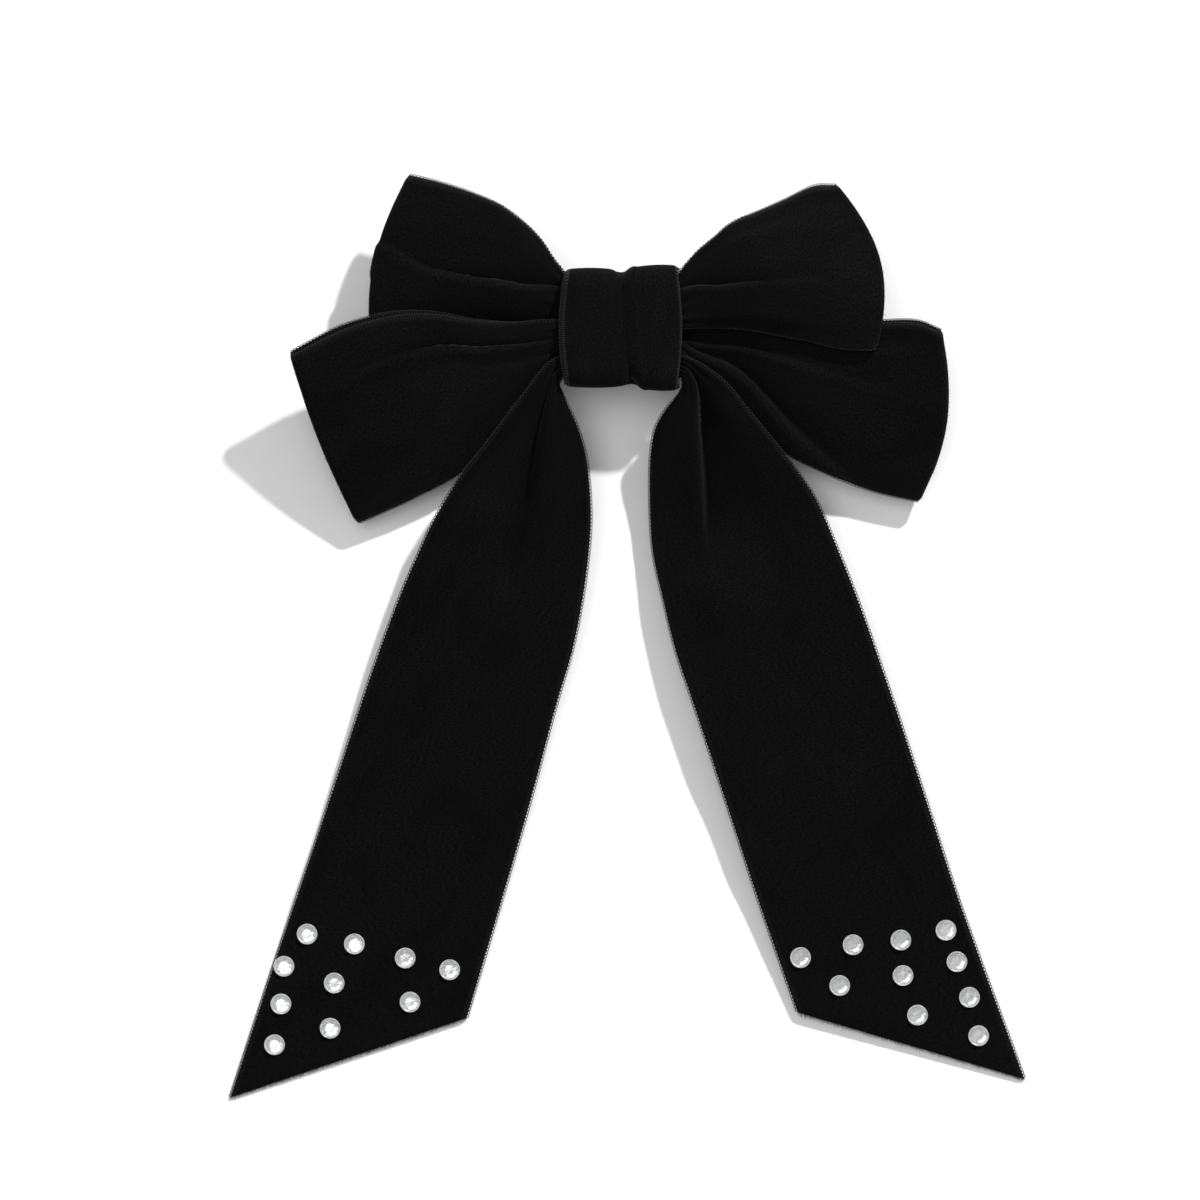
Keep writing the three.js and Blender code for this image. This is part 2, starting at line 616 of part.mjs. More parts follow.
function catchRivet() {
  const under = BRACKET_Z - CLEARANCE;
  const over = plateUnderside(RIVET_X) + PLATE_THICK + CLEARANCE;
  return toGeometry(
    unite(
      rodZ(RIVET_RADIUS, under - RIVET_HEAD / 2, over + RIVET_HEAD / 2, RIVET_X, 0),
      rodZ(RIVET_HEAD_RADIUS, under - RIVET_HEAD, under, RIVET_X, 0),
      rodZ(RIVET_HEAD_RADIUS, over, over + RIVET_HEAD, RIVET_X, 0)
    )
  );
}

const tabPin = (side) => {
  const reach = lugX + LUG_THICK + CLEARANCE;
  return rodX(TAB_PIN_RADIUS, TAB_X - reach, TAB_X + reach, side * TAB_PIVOT_Y, TAB_PIVOT_Z);
};

// A release tab: rolled round its pin, with a foot through the arm's window and a wing to a finger pad.
function releaseTab(side) {
  const [x0, x1] = [TAB_X - TAB_HALF_X, TAB_X + TAB_HALF_X];
  const flat = (y0, y1, z0, z1) => {
    const ys = [side * y0, side * y1].sort((a, b) => a - b);
    return box(x0, x1, ...ys, z0, z1);
  };
  const wingZ = TAB_PIVOT_Z + 0.4;
  const inner = TAB_PIVOT_Y - TAB_THICK / 2;
  const body = unite(
    rodX(TAB_ROLL_RADIUS, x0, x1, side * TAB_PIVOT_Y, TAB_PIVOT_Z),
    flat(inner, inner + TAB_THICK, TAB_FOOT_Z, TAB_PIVOT_Z),
    flat(inner, inner + TAB_THICK + 0.1, TAB_FOOT_Z, TAB_FOOT_Z + 0.8),
    flat(TAB_PIVOT_Y + 0.7, TAB_PAD_Y, wingZ - TAB_THICK, wingZ),
    flat(TAB_PAD_Y - TAB_THICK, TAB_PAD_Y, 2.4, wingZ)
  );
  return toGeometry(cutAway(body, rodX(TAB_HOLE_RADIUS, x0 - 1, x1 + 1, side * TAB_PIVOT_Y, TAB_PIVOT_Z)));
}

// ---- Assembly ----

addPiece("upper_bow_ribbon", bowRibbon(GATHERS.upper, LOOPS.upperLeft, LOOPS.upperRight), VELVET);
addPiece("lower_bow_ribbon", bowRibbon(GATHERS.lower, LOOPS.lowerLeft, LOOPS.lowerRight), VELVET);
addPiece("tail_ribbon", tailRibbon(), VELVET);
addPiece("knot_band", knotBand(), VELVET);
addPiece("binding_thread", bindingThread(), THREAD);
addPiece("barrette_plate", barrettePlate(), STEEL);
addPiece("hinge_pin", hingePin(), STEEL);
addPiece("clasp_arm", claspArm(), STEEL);
addPiece("tension_bar", tensionBar(), SPRING_STEEL);
addPiece("catch_bracket", catchBracket(), STEEL);
addPiece("catch_rivet", catchRivet(), STEEL);
addPiece("tab_pin_front", tabPin(-1), STEEL);
addPiece("tab_pin_back", tabPin(1), STEEL);
addPiece("release_tab_front", releaseTab(-1), SPRING_STEEL);
addPiece("release_tab_back", releaseTab(1), SPRING_STEEL);
addStones("left", TAILS.left);
addStones("right", TAILS.right);

export default bow;
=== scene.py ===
"""A velvet hair bow's looks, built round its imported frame: ribbons, woven edges, fuzz, stones and clip."""

import math

import bpy
import numpy as np
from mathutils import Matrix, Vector


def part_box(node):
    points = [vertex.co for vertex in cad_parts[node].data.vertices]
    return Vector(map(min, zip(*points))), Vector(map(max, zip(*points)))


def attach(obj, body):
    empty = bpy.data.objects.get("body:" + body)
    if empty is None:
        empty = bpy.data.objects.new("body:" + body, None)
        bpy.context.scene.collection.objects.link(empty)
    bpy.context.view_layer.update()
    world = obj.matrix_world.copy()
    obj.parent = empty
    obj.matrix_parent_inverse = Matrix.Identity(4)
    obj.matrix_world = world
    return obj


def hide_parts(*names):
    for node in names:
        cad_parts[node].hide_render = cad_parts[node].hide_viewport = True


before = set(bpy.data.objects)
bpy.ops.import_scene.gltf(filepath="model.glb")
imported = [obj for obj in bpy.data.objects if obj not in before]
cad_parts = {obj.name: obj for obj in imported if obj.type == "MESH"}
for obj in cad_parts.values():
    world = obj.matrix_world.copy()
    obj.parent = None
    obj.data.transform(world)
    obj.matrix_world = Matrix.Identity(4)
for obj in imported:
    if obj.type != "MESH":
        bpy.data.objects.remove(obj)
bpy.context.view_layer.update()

# ---------------------------------------------------------------- sizes, in millimetres
MM = 0.001
RIBBON_WIDTH = 38.0
RIBBON_THICK = 0.8
SELVEDGE = 0.9  # width of the woven edge
RIM_THIN = 0.45  # thickness at the very edge, as a part of the whole
STEP = 0.5  # mesh spacing along and across a ribbon
FOLD_RADIUS = 0.8
FOLD_REACH = FOLD_RADIUS + RIBBON_THICK / 2
FOLD_TURNS = 7  # rows round a fold
AIM_COLUMN = 30  # where across a ribbon the way out of its folds is measured
PLATE_GAP = 0.9  # between the clip's plate and the cloth over it
FLOOR_GAP = 0.05  # between the floor and the tails

PICOT_PITCH = 0.72
PICOT_REACH = 0.34
PICOT_WIRE = 0.085
PICOT_SPAN = 0.84  # of the pitch
PICOT_SCATTER = 0.12
FIBRE_WIRE = 0.035
FIBRE_BEND = 0.35

# Fibres along folds and cuts: the pitch of their roots, their length, and how far aims and roots scatter.
# "lift" is how much more the roots scatter up and down, and "inset" how far they stand inside the cut.
PILE = {"pitch": 0.09, "length": 0.75, "spread": 0.55, "scatter": 0.12, "lift": 1, "inset": 0}
FRINGE = {"pitch": 0.045, "length": 0.85, "spread": 0.45, "scatter": 0.1, "lift": 1.6, "inset": 0.1}

rng = np.random.default_rng(7)


def box_mm(node):
    """The low and high corners of a node's box, in millimetres."""
    low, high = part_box(node)
    return np.array(low) / MM, np.array(high) / MM


BAND_LOW, BAND_HIGH = box_mm("knot_band")
PLATE_HIGH = box_mm("barrette_plate")[1]


# ---------------------------------------------------------------- curves and shaping helpers
def unit(vectors):
    """The vectors at length one."""
    return vectors / np.maximum(np.linalg.norm(vectors, axis=-1, keepdims=True), 1e-12)


def smooth(t):
    """A ramp from 0 to 1 that starts and ends level."""
    t = np.clip(t, 0, 1)
    return t * t * (3 - 2 * t)


def distances(line):
    """How far along a line each of its points is."""
    return np.concatenate([[0], np.cumsum(np.linalg.norm(np.diff(line, axis=0), axis=1))])


def points_at(line, at):
    """The points of a line at these distances along it."""
    run = distances(line)
    return np.stack([np.interp(at, run, line[:, k]) for k in range(line.shape[1])], axis=1)


def through(points, fractions):
    """Points at these fractions of the length of a smooth curve through the given points."""
    p = np.array(points, float)
    p = np.vstack([2 * p[0] - p[1], p, 2 * p[-1] - p[-2]])
    dense = []
    for a, b, c, d in zip(p[:-3], p[1:-2], p[2:-1], p[3:]):
        knots = np.cumsum([0.0] + [max(np.linalg.norm(e), 1e-6) ** 0.5 for e in (b - a, c - b, d - c)])
        t = np.linspace(knots[1], knots[2], 24, endpoint=False)[:, None]
        k0, k1, k2, k3 = knots
        ab = (k1 - t) / (k1 - k0) * a + (t - k0) / (k1 - k0) * b
        bc = (k2 - t) / (k2 - k1) * b + (t - k1) / (k2 - k1) * c
        cd = (k3 - t) / (k3 - k2) * c + (t - k2) / (k3 - k2) * d
        abc = (k2 - t) / (k2 - k0) * ab + (t - k0) / (k2 - k0) * bc
        bcd = (k3 - t) / (k3 - k1) * bc + (t - k1) / (k3 - k1) * cd
        dense.append((k2 - t) / (k2 - k1) * abc + (t - k1) / (k2 - k1) * bcd)
    dense = np.vstack([*dense, p[-2:-1]])
    return points_at(dense, np.asarray(fractions) * distances(dense)[-1])


def ease(values, u):
    """A smooth function of u near values given at even steps from 0 to 1: straight lines, then softened."""
    pad = 8
    steps = np.linspace(0, 1, len(values))
    fine = np.linspace(0, 1, 101)
    line = np.interp(fine, steps, values)
    padded = np.concatenate([np.full(pad, line[0]), line, np.full(pad, line[-1])])
    kernel = np.hanning(2 * pad + 3)[1:-1]
    return np.interp(u, fine, np.convolve(padded, kernel / kernel.sum(), "valid")[: len(fine)])


def columns(width):
    """Fractions across a ribbon, closer together in its woven edges."""
    edge = SELVEDGE / width
    inner = np.linspace(edge * 1.5, 1 - edge * 1.5, round(width / STEP) - 3)
    return np.concatenate([[0, edge / 2, edge], inner, [1 - edge, 1 - edge / 2, 1]])


# ---------------------------------------------------------------- the shape of loops and tails
# Edges run from the knot outwards. A crease is a pressed fold that runs out from the knot. Its lists are at
# even steps along the ribbon: "at" is its place as a part of the width from the low edge, "dip" the depth of
# the valley on its high side and "rise" the height of the ridge on its low side, in millimetres. "fan" and
# "roll" say how far the valley and the ridge reach and "sharp" how wide the wall between them is, as parts of
# the width. "drop" is the gap from the front to the back layer in a loop's middle, from its low to its high
# edge, and "mouth_drop" the same at the knot. "peek" moves the back layer sideways.
LOOPS = {
    "upper_left": {
        "low": [[-10.5, 0.8, 11.3], [-18, 0.8, 10.8], [-28, 0.6, 10.4], [-38, -1.3, 9.6], [-48.7, -6.2, 9]],
        "high": [
            [-10.5, 9.8, 13.4], [-13.3, 13.2, 14.2], [-16.3, 17.5, 15], [-20, 21, 15.6], [-23.9, 23.6, 16],
            [-29.8, 26, 16.3], [-35.7, 27.8, 16.2], [-41.6, 29.3, 15.4],
        ],
        "bulge_out": 3.4, "belly": 3.2,
        "creases": [
            {"at": [0.7, 0.42, 0.38, 0.44, 0.62], "dip": [1.0, 2.6, 2.5, 1.8, 0.8],
             "rise": [0.4, 1.0, 1.0, 0.8, 0.3], "fan": 0.26, "roll": 0.18},
        ],
        "drop": [1.9, 5.0, 4.2], "mouth_drop": [1.5, 3.0], "peek": [-0.6, 0.7],
    },
    "lower_left": {
        "low": [
            [-10.5, -4.2, 12.8], [-17, -11.5, 10], [-27.5, -24, 6.8], [-32.2, -28.4, 6], [-41, -33.2, 5.2],
            [-52, -38.2, 4.2],
        ],
        "high": [
            [-10.5, 1.3, 14.4], [-16, 1.2, 15.2], [-21, 0.8, 16], [-29, 1, 17.2], [-35.7, 2, 18.4],
            [-41.5, 2.1, 19.1], [-47.5, 1.2, 19.4], [-55.3, -1.2, 19.3], [-64.6, -5.8, 18.6],
        ],
        "bulge_out": 0.9, "belly": 2.4,
        "creases": [
            {"at": [0.5, 0.7, 0.775, 0.76, 0.74], "dip": [0.5, 1.8, 2.2, 0.9, 0],
             "rise": [0.3, 1.0, 1.0, 0.2, 0], "fan": 0.13, "roll": 0.05},
            {"at": [0.2, 0.5, 0.66, 0.7, 0.7], "dip": [0.2, 1.2, 1.3, 0.3, 0],
             "rise": [0.1, 0.2, 0.2, 0, 0], "fan": 0.1, "roll": 0.2, "sharp": 0.07},
        ],
        "drop": [2.6, 3.8, 2.2], "mouth_drop": [3.0, 1.5], "peek": [-0.4, 1.1],
    },
    "upper_right": {
        "low": [
            [10.5, 0.1, 14.3], [22.7, 0, 14.8], [31.6, -1.4, 15.1], [37.5, -2.4, 15.2], [43.5, -3.7, 15.5],
            [49.9, -3.9, 15.8],
        ],
        "high": [
            [10.5, 9.9, 13.4], [14.6, 14.6, 14.2], [18.4, 17.8, 15], [21.2, 20.1, 15.4], [27.3, 22.6, 15.4],
            [32.9, 25, 14.8], [38.2, 27.4, 13.6], [42, 27.6, 12.6],
        ],
        "bulge_out": 4.4, "belly": 3.4,
        "creases": [
            {"at": [0.7, 0.45, 0.42, 0.44, 0.45], "dip": [0.9, 2.3, 0.9, 0, 0],
             "rise": [0.4, 1.0, 0.4, 0, 0], "fan": 0.26, "roll": 0.18},
            {"at": [0.86, 0.86, 0.86, 0.88, 0.88], "dip": [0, 0.2, 0.8, 0.3, 0],
             "rise": [0, 0.1, 0.6, 0.2, 0], "fan": 0.1, "roll": 0.14, "sharp": 0.03},
            {"at": [0.08, 0.08, 0.08, 0.08, 0.08], "dip": [0, 0, 0, 0, 0],
             "rise": [-0.3, -1.1, -1.3, -1.2, -0.6], "fan": 0.1, "roll": 0.4, "sharp": 0.05},
        ],
        "drop": [1.2, 4.6, 4.2], "mouth_drop": [1.5, 3.0], "peek": [0.5, 0.6],
    },
    "lower_right": {
        "low": [
            [10.5, -4.4, 12.6], [13.4, -8.8, 11.3], [17, -12, 9.8], [22, -16.4, 8.2], [31.6, -24, 6.2],
            [42.7, -29.4, 5.2], [50.6, -32.2, 4.6], [58.3, -34.0, 4.2],
        ],
        "high": [
            [10.5, 1.0, 11.5], [18, 0.7, 11.5], [30, 0, 11.7], [40, 0, 12.2], [51, 0.4, 13.2],
            [58.6, 0.2, 15.8], [62.3, -1.2, 16.6],
        ],
        "bulge_out": 3.2, "belly": 1.6,
        "creases": [
            {"at": [0.5, 0.74, 0.7, 0.62, 0.55], "dip": [0.4, 1.2, 1.2, 0.3, 0],
             "rise": [0.3, 1.1, 1.0, 0.2, 0], "fan": 0.12, "roll": 0.06, "sharp": 0.03},
            {"at": [0.4, 0.46, 0.2, 0.02, -0.1], "dip": [0.5, 2.6, 2.6, 0.8, 0],
             "rise": [0.2, 1.4, 1.4, 0.4, 0], "fan": 0.26, "roll": 0.12, "sharp": 0.03},
            {"at": [0.93, 0.92, 0.9, 0.86, 0.86], "dip": [0, 0, 0, 0.6, 0],
             "rise": [0.2, 1.9, 1.4, 1.4, 0.3], "fan": 0.1, "roll": 0.2, "sharp": 0.05},
        ],
        "drop": [2.4, 4.0, 2.6], "mouth_drop": [3.0, 1.5], "peek": [0.4, 0.8],
    },
}

# The tails' creases end at TAIL_FOLDS_END of their length. A swell is a soft rise, or a dent where "high" is
# negative, with its middle at u along and v across.
TAILS = {
    "left": {
        "low": [
            [-10.5, -9.3, 13.4], [-11.8, -9.9, 13.4], [-12.4, -11.3, 13], [-11.4, -13.6, 12.6],
            [-8.8, -19.2, 11.6], [-7.1, -25, 10.4], [-6.1, -35.9, 8.6], [-6.5, -43.7, 7.4],
            [-7.8, -53.5, 6], [-9.8, -63.3, 5], [-12.7, -73.1, 4.2], [-18, -92.7, 2.8],
            [-23.7, -112.4, 1.7], [-30.5, -135.2, 0.8],
        ],
        "high": [
            [-10.5, -5.3, 14.1], [-13.9, -6.7, 14.8], [-19.6, -13.6, 13.8], [-27.5, -23.9, 11.6],
            [-31.3, -28.6, 10.3], [-36.5, -37, 8.2], [-40.4, -45.3, 6.4], [-43.9, -53.5, 5],
            [-49.3, -68.2, 3.1], [-55.8, -87.8, 1.7], [-60.7, -102.5, 1.1], [-67.4, -122.2, 0.7],
            [-76.8, -150.8, 0.5],
        ],
        "creases": [
            {"at": [0.5, 0.52, 0.43, 0.42, 0.42], "dip": [0.4, 3.2, 3.4, 0.6, 0],
             "rise": [0.3, 2.0, 2.2, 0.3, 0], "fan": 0.24, "roll": 0.1, "sharp": 0.045},
        ],
        "swells": [
            {"u": 0.25, "v": 0.78, "long": 0.035, "wide": 0.28, "high": 1.3},
            {"u": 0.3, "v": 0.42, "long": 0.05, "wide": 0.16, "high": -1.3},
        ],
    },
    "right": {
        "low": [
            [10.5, -9.3, 13.4], [11.7, -9.9, 13.2], [12, -11.4, 12.6], [10.7, -13.6, 11.6], [9.3, -15, 11],
            [6.7, -19.2, 9.6], [5.7, -24.1, 7.9], [5.5, -33.9, 5.2], [6.1, -43.7, 4.3], [8.2, -53.5, 4.9],
            [10.6, -63.3, 5.8], [13.9, -73.1, 6.3], [20.4, -92.7, 5.3], [26.9, -112.4, 3.4],
            [34.5, -134.1, 1.5],
        ],
        "high": [
            [10.5, -5.3, 14.1], [13.4, -6.2, 14.6], [19.4, -10, 13.6], [25.1, -16.7, 12.2],
            [31.4, -24.3, 11], [35, -29, 10.4], [38.1, -33.9, 9.6], [42.4, -43.7, 8.2], [46.3, -53.5, 7],
            [53.2, -73.1, 4.8], [59.7, -92.7, 3.2], [66.2, -112.4, 1.9], [79, -147.2, 0.5],
        ],
        "creases": [
            {"at": [0.55, 0.55, 0.48, 0.41, 0.35, 0.31, 0.29, 0.29, 0.29],
             "dip": [0.5, 1.8, 3.2, 4.0, 4.6, 4.8, 0.6, 0, 0],
             "rise": [0.2, 0.8, 1.2, 1.4, 1.4, 1.1, 0.2, 0, 0], "fan": 0.3, "roll": 0.2, "sharp": 0.022},
        ],
        "swells": [
            {"u": 0.36, "v": 0.35, "long": 0.06, "wide": 0.4, "high": 2.2},
            {"u": 0.1, "v": 0.78, "long": 0.03, "wide": 0.14, "high": 0.8},
        ],
    },
}
CREASE_SHARP = 0.014
BACK_CREASE = 0.7  # depth of the back layer's creases, as a part of the front's
BACK_SEED = 3  # added to a loop's seed for its back layer
TAIL_FOLDS_END = 0.42  # of the tail's length, from the knot

# How far gathers reach along the ribbon, as a part of its length, and how high they are.
FRONT_GATHERS = (0.22, 0.22)
BACK_GATHERS = (0.85, 1.2)
TAIL_GATHERS = (0.1, 0.35)
BROAD_PLEATS = 5.3  # across the width
FINE_PLEATS = 9.7
CALM_EDGE = 0.12  # of the width, at both edges

UNDER_BAND_PLEATS = 9.5
UNDER_BAND_PLEAT_HEIGHT = 0.95
UNDER_BAND_PINCH = 0.14
MEETING_Y = 1.05  # where the upper and the lower ribbon meet under the knot band
MEETING_ABOVE = 0.5
MEETING_BELOW = 0.7
PLATE_EASE = 4.0  # the lift off the plate fades out over this distance beside it


def crease_height(crease, u, v):
    """The height of a crease at u along and v across: a valley, a steep wall and a ridge."""
    away = v - ease(crease["at"], u)
    past = 0.5 + 0.5 * np.tanh(away / crease.get("sharp", CREASE_SHARP))
    valley = past * np.exp(-np.maximum(away, 0) / crease["fan"]) * ease(crease["dip"], u)
    ridge = (1 - past) * np.exp(np.minimum(away, 0) / crease["roll"]) * ease(crease["rise"], u)
    return ridge - valley


def gather_height(u, v, reach, height, seed):
    """Pleats at the knot that die away by reach, the finest soonest, and leave the ribbon's edges calm."""
    fade = np.clip(1 - u / reach, 0, 1) ** 1.6
    soon = np.clip(1 - u / (0.35 * reach), 0, 1)
    broad = np.sin(2 * math.pi * (BROAD_PLEATS * v + 0.17 * seed + 0.12 * np.sin(5 * v)))
    fine = 0.6 * np.sin(2 * math.pi * (FINE_PLEATS * v + 0.41 * seed))
    return height * (fade * broad + soon * fine) * smooth(np.minimum(v, 1 - v) / CALM_EDGE)


def layer(low, high, u, v, out, bulge):
    """A layer's middle surface between two edges, with its end bulging outwards."""
    rows = low[:, None] + (high - low)[:, None] * v[None, :, None]
    push = (bulge * np.sin(math.pi * v) - FOLD_REACH * (bulge > 0))[None, :] * (u**2)[:, None]
    return rows + push[..., None] * out


def loop_layers(shape, seed, keep):
    """The front and back layers of a loop, each as rows from the knot to the fold."""
    count = round(distances(np.array(shape["high"]))[-1] / STEP)
    u = np.linspace(0, 1, count)
    v = columns(RIBBON_WIDTH)
    low, high = through(shape["low"], u), through(shape["high"], u)
    out = (low[-1] + high[-1] - low[0] - high[0]) * [1, 1, 0]
    out = out / np.linalg.norm(out)
    front = layer(low, high, u, v, out, shape["bulge_out"])
    back = front.copy()
    uu, vv = u[:, None], v[None, :]
    belly = shape["belly"] * np.sin(math.pi * vv) ** 0.8 * np.sin(math.pi * uu) ** 0.9
    front[..., 2] += belly + gather_height(uu, vv, *FRONT_GATHERS, seed)
    for crease in shape["creases"]:
        front[..., 2] += crease_height(crease, uu, vv)
    drop = through(np.array(shape["drop"])[:, None], v)[:, 0][None, :]
    open_share = smooth(uu / 0.3) * smooth((1 - uu) / 0.35)
    mouth_low, mouth_high = shape["mouth_drop"]
    mouth = (mouth_low + (mouth_high - mouth_low) * vv) * (1 - smooth(uu / 0.4))
    back[..., 2] -= mouth + drop * open_share
    back[..., 2] += gather_height(uu, vv, *BACK_GATHERS, seed + BACK_SEED)
    for crease in shape["creases"]:
        back[..., 2] -= BACK_CREASE * crease_height(crease, uu, 1.04 - vv)
    back[..., :2] += np.array(shape["peek"]) * (np.sin(math.pi * uu[..., None] * 0.62) ** 2)
    keep_apart(back, keep, 1 - smooth(uu / 0.3))
    front[..., 2] += FOLD_RADIUS * smooth(uu)
    back[..., 2] -= FOLD_RADIUS * smooth(uu)
    return front, lift_off_plate(back), out


def lift_off_plate(rows):
    """Keeps a layer clear of the clip's plate under it."""
    top = PLATE_HIGH[2] + PLATE_GAP + RIBBON_THICK / 2
    beside = np.maximum(np.abs(rows[..., 1]) - PLATE_HIGH[1], np.abs(rows[..., 0]) - PLATE_HIGH[0])
    near = smooth(1 - beside / PLATE_EASE)
    rows[..., 2] = np.maximum(rows[..., 2], rows[..., 2] * (1 - near) + top * near)
    return rows


def fold_rows(front_end, back_end, out):
    """Rows round a loop's fold, from the last front row to the last back row."""
    middle = (front_end + back_end) / 2
    half = (front_end - back_end) / 2
    turns = np.linspace(0, math.pi, FOLD_TURNS + 2)[1:-1]
    radius = np.linalg.norm(half, axis=-1, keepdims=True)
    return np.stack([middle + half * math.cos(t) + out * radius * math.sin(t) for t in turns])


def keep_apart(rows, keep, share):
    """Moves rows off the line where the upper and the lower ribbon meet, as far as share says."""
    if keep == "above":
        rows[..., 1] += share * np.maximum(MEETING_Y + MEETING_ABOVE - rows[..., 1], 0)
    if keep == "below":
        rows[..., 1] -= share * np.maximum(rows[..., 1] - MEETING_Y + MEETING_BELOW, 0)


def under_band(start, end, count, pull, keep=None):
    """Rows under the knot band, from one side to the other, drawn together in the middle.
    keep is "above" or "below" for a ribbon that stays on that side of the line where two ribbons meet."""
    share = np.linspace(0, 1, count)[1:-1]
    rows = start[None] + (end - start)[None] * share[:, None, None]
    drawn = np.sin(math.pi * share)[:, None]
    keep_apart(rows, keep, smooth(np.minimum(share, 1 - share) / 0.12)[:, None])
    rows[..., 1] = rows[..., 1] * (1 - UNDER_BAND_PINCH * drawn)
    beside_thread = np.sin(2 * math.pi * share)[:, None] ** 2
    fine = np.sin(2 * math.pi * UNDER_BAND_PLEATS * np.linspace(0, 1, rows.shape[1]))[None]
    level = rows[..., 2].mean(axis=1, keepdims=True)
    rows[..., 2] = level + (rows[..., 2] - level) * (1 - 0.5 * drawn)
    rows[..., 2] += pull * drawn + UNDER_BAND_PLEAT_HEIGHT * beside_thread * fine
    return rows


def bow_rows(left_name, right_name, seed, keep):
    """A bow ribbon's middle surface as one ring of rows, as a list of its stretches in order."""
    left_front, left_back, left_out = loop_layers(LOOPS[left_name], seed, keep)
    right_front, right_back, right_out = loop_layers(LOOPS[right_name], seed + 1, keep)
    across = round(2 * abs(left_front[0, 0, 0]) / STEP)
    return [
        right_front,
        fold_rows(right_front[-1], right_back[-1], right_out),
        right_back[::-1],
        under_band(right_back[0], left_back[0], across, 0.3, keep),
        left_back,
        fold_rows(left_front[-1], left_back[-1], left_out)[::-1],
        left_front[::-1],
        under_band(left_front[0], right_front[0], across, -0.3, keep),
    ]


def tail_layer(tail, seed):
    """A tail's middle surface, as rows from the knot to the slanted cut."""
    count = round(distances(np.array(tail["high"]))[-1] / STEP)
    u = np.linspace(0, 1, count)
    v = columns(RIBBON_WIDTH)
    rows = layer(through(tail["low"], u), through(tail["high"], u), u, v, np.zeros(3), 0)
    uu, vv = u[:, None], v[None, :]
    near = np.clip(uu / TAIL_FOLDS_END, 0, 1)
    rows[..., 2] += gather_height(uu, vv, *TAIL_GATHERS, seed)
    for crease in tail["creases"]:
        rows[..., 2] += crease_height(crease, near, vv)
    for swell in tail["swells"]:
        along = (uu - swell["u"]) / swell["long"]
        across = (vv - swell["v"]) / swell["wide"]
        rows[..., 2] += swell["high"] * np.exp(-along * along - across * across)
    long_waves = 0.22 * np.sin(uu * 23 + seed) * np.sin(vv * 3.1 + 0.6)
    short_waves = 0.14 * np.sin(uu * 41 - vv * 4 + seed)
    rows[..., 2] += (long_waves + short_waves) * smooth((uu - 0.3) / 0.2) * smooth((1.02 - uu) / 0.3)
    return rows


# ---------------------------------------------------------------- meshes
def make_object(name, vertices, faces, materials, uvs=None, smooth_faces=True):
    """A mesh object from vertices in millimetres. uvs holds one pair for each face corner, in face order."""
    mesh = bpy.data.meshes.new(name)
    mesh.from_pydata((np.asarray(vertices) * MM).tolist(), [], [tuple(map(int, f)) for f in faces])
    if uvs is not None:
        layer_uv = mesh.uv_layers.new(name="UVMap")
        layer_uv.data.foreach_set("uv", np.asarray(uvs, np.float32).ravel())
    mesh.polygons.foreach_set("use_smooth", [smooth_faces] * len(mesh.polygons))
    mesh.update()
    for material in materials:
        mesh.materials.append(material)
    thing = bpy.data.objects.new(name, mesh)
    bpy.context.scene.collection.objects.link(thing)
    return thing


def surface_normals(rows, ring):
    """Unit normals of a grid of rows. Where a ribbon is drawn together, they are the whole gather's."""
    if ring:
        along = np.roll(rows, -1, axis=0) - np.roll(rows, 1, axis=0)
    else:
        along = np.gradient(rows, axis=0)
    across = unit(np.gradient(rows, axis=1))
    chord = rows[:, -1:] - rows[:, :1]
    length = np.linalg.norm(np.diff(rows, axis=1), axis=2).sum(axis=1)[:, None, None]
    spread = smooth((np.linalg.norm(chord, axis=2, keepdims=True) / length - 0.35) / 0.4)
    return unit(np.cross(unit(along), across * spread + unit(chord) * (1 - spread)))


def ribbon_faces(count, wide, ring):
    """Quads round a grid and its offset copy: outside, inside and rim, and each outside quad's column."""
    spans = count if ring else count - 1
    i, j = np.meshgrid(np.arange(spans), np.arange(wide - 1), indexing="ij")
    i, j = i.ravel(), j.ravel()
    k = (i + 1) % count
    outside = np.stack([i * wide + j, k * wide + j, k * wide + j + 1, i * wide + j + 1], axis=1)
    base = count * wide
    inside = outside[:, ::-1] + base
    here = np.arange(spans) * wide
    there = (np.arange(spans) + 1) % count * wide
    last = wide - 1
    rims = [
        np.stack([base + here, base + there, there, here], axis=1),
        np.stack([here + last, there + last, base + there + last, base + here + last], axis=1),
    ]
    if not ring:
        first = np.arange(wide - 1)
        final = (count - 1) * wide + first
        rims.append(np.stack([first, first + 1, base + first + 1, base + first], axis=1))
        rims.append(np.stack([final + 1, final, base + final, base + final + 1], axis=1))
    return outside, inside, np.vstack(rims), j


def ribbon_uvs(rows, v, faces, ring):
    """A UV pair for each face corner, in ribbon widths: the run along the ribbon and the place across it."""
    count, wide = rows.shape[:2]
    middle = rows[:, wide // 2]
    steps = np.linalg.norm(np.roll(middle, -1, axis=0) - middle, axis=1)
    run = np.concatenate([[0], np.cumsum(steps)])
    along = np.tile(np.repeat(run[:count], wide), 2)[faces]
    across = np.tile(v * RIBBON_WIDTH, 2 * count)[faces]
    if ring:
        wraps = along.max(axis=1) - along.min(axis=1) > run[-1] / 2
        along[wraps] = np.where(along[wraps] < run[-1] / 2, along[wraps] + run[-1], along[wraps])
    return np.stack([along, across], axis=-1).reshape(-1, 2) / RIBBON_WIDTH


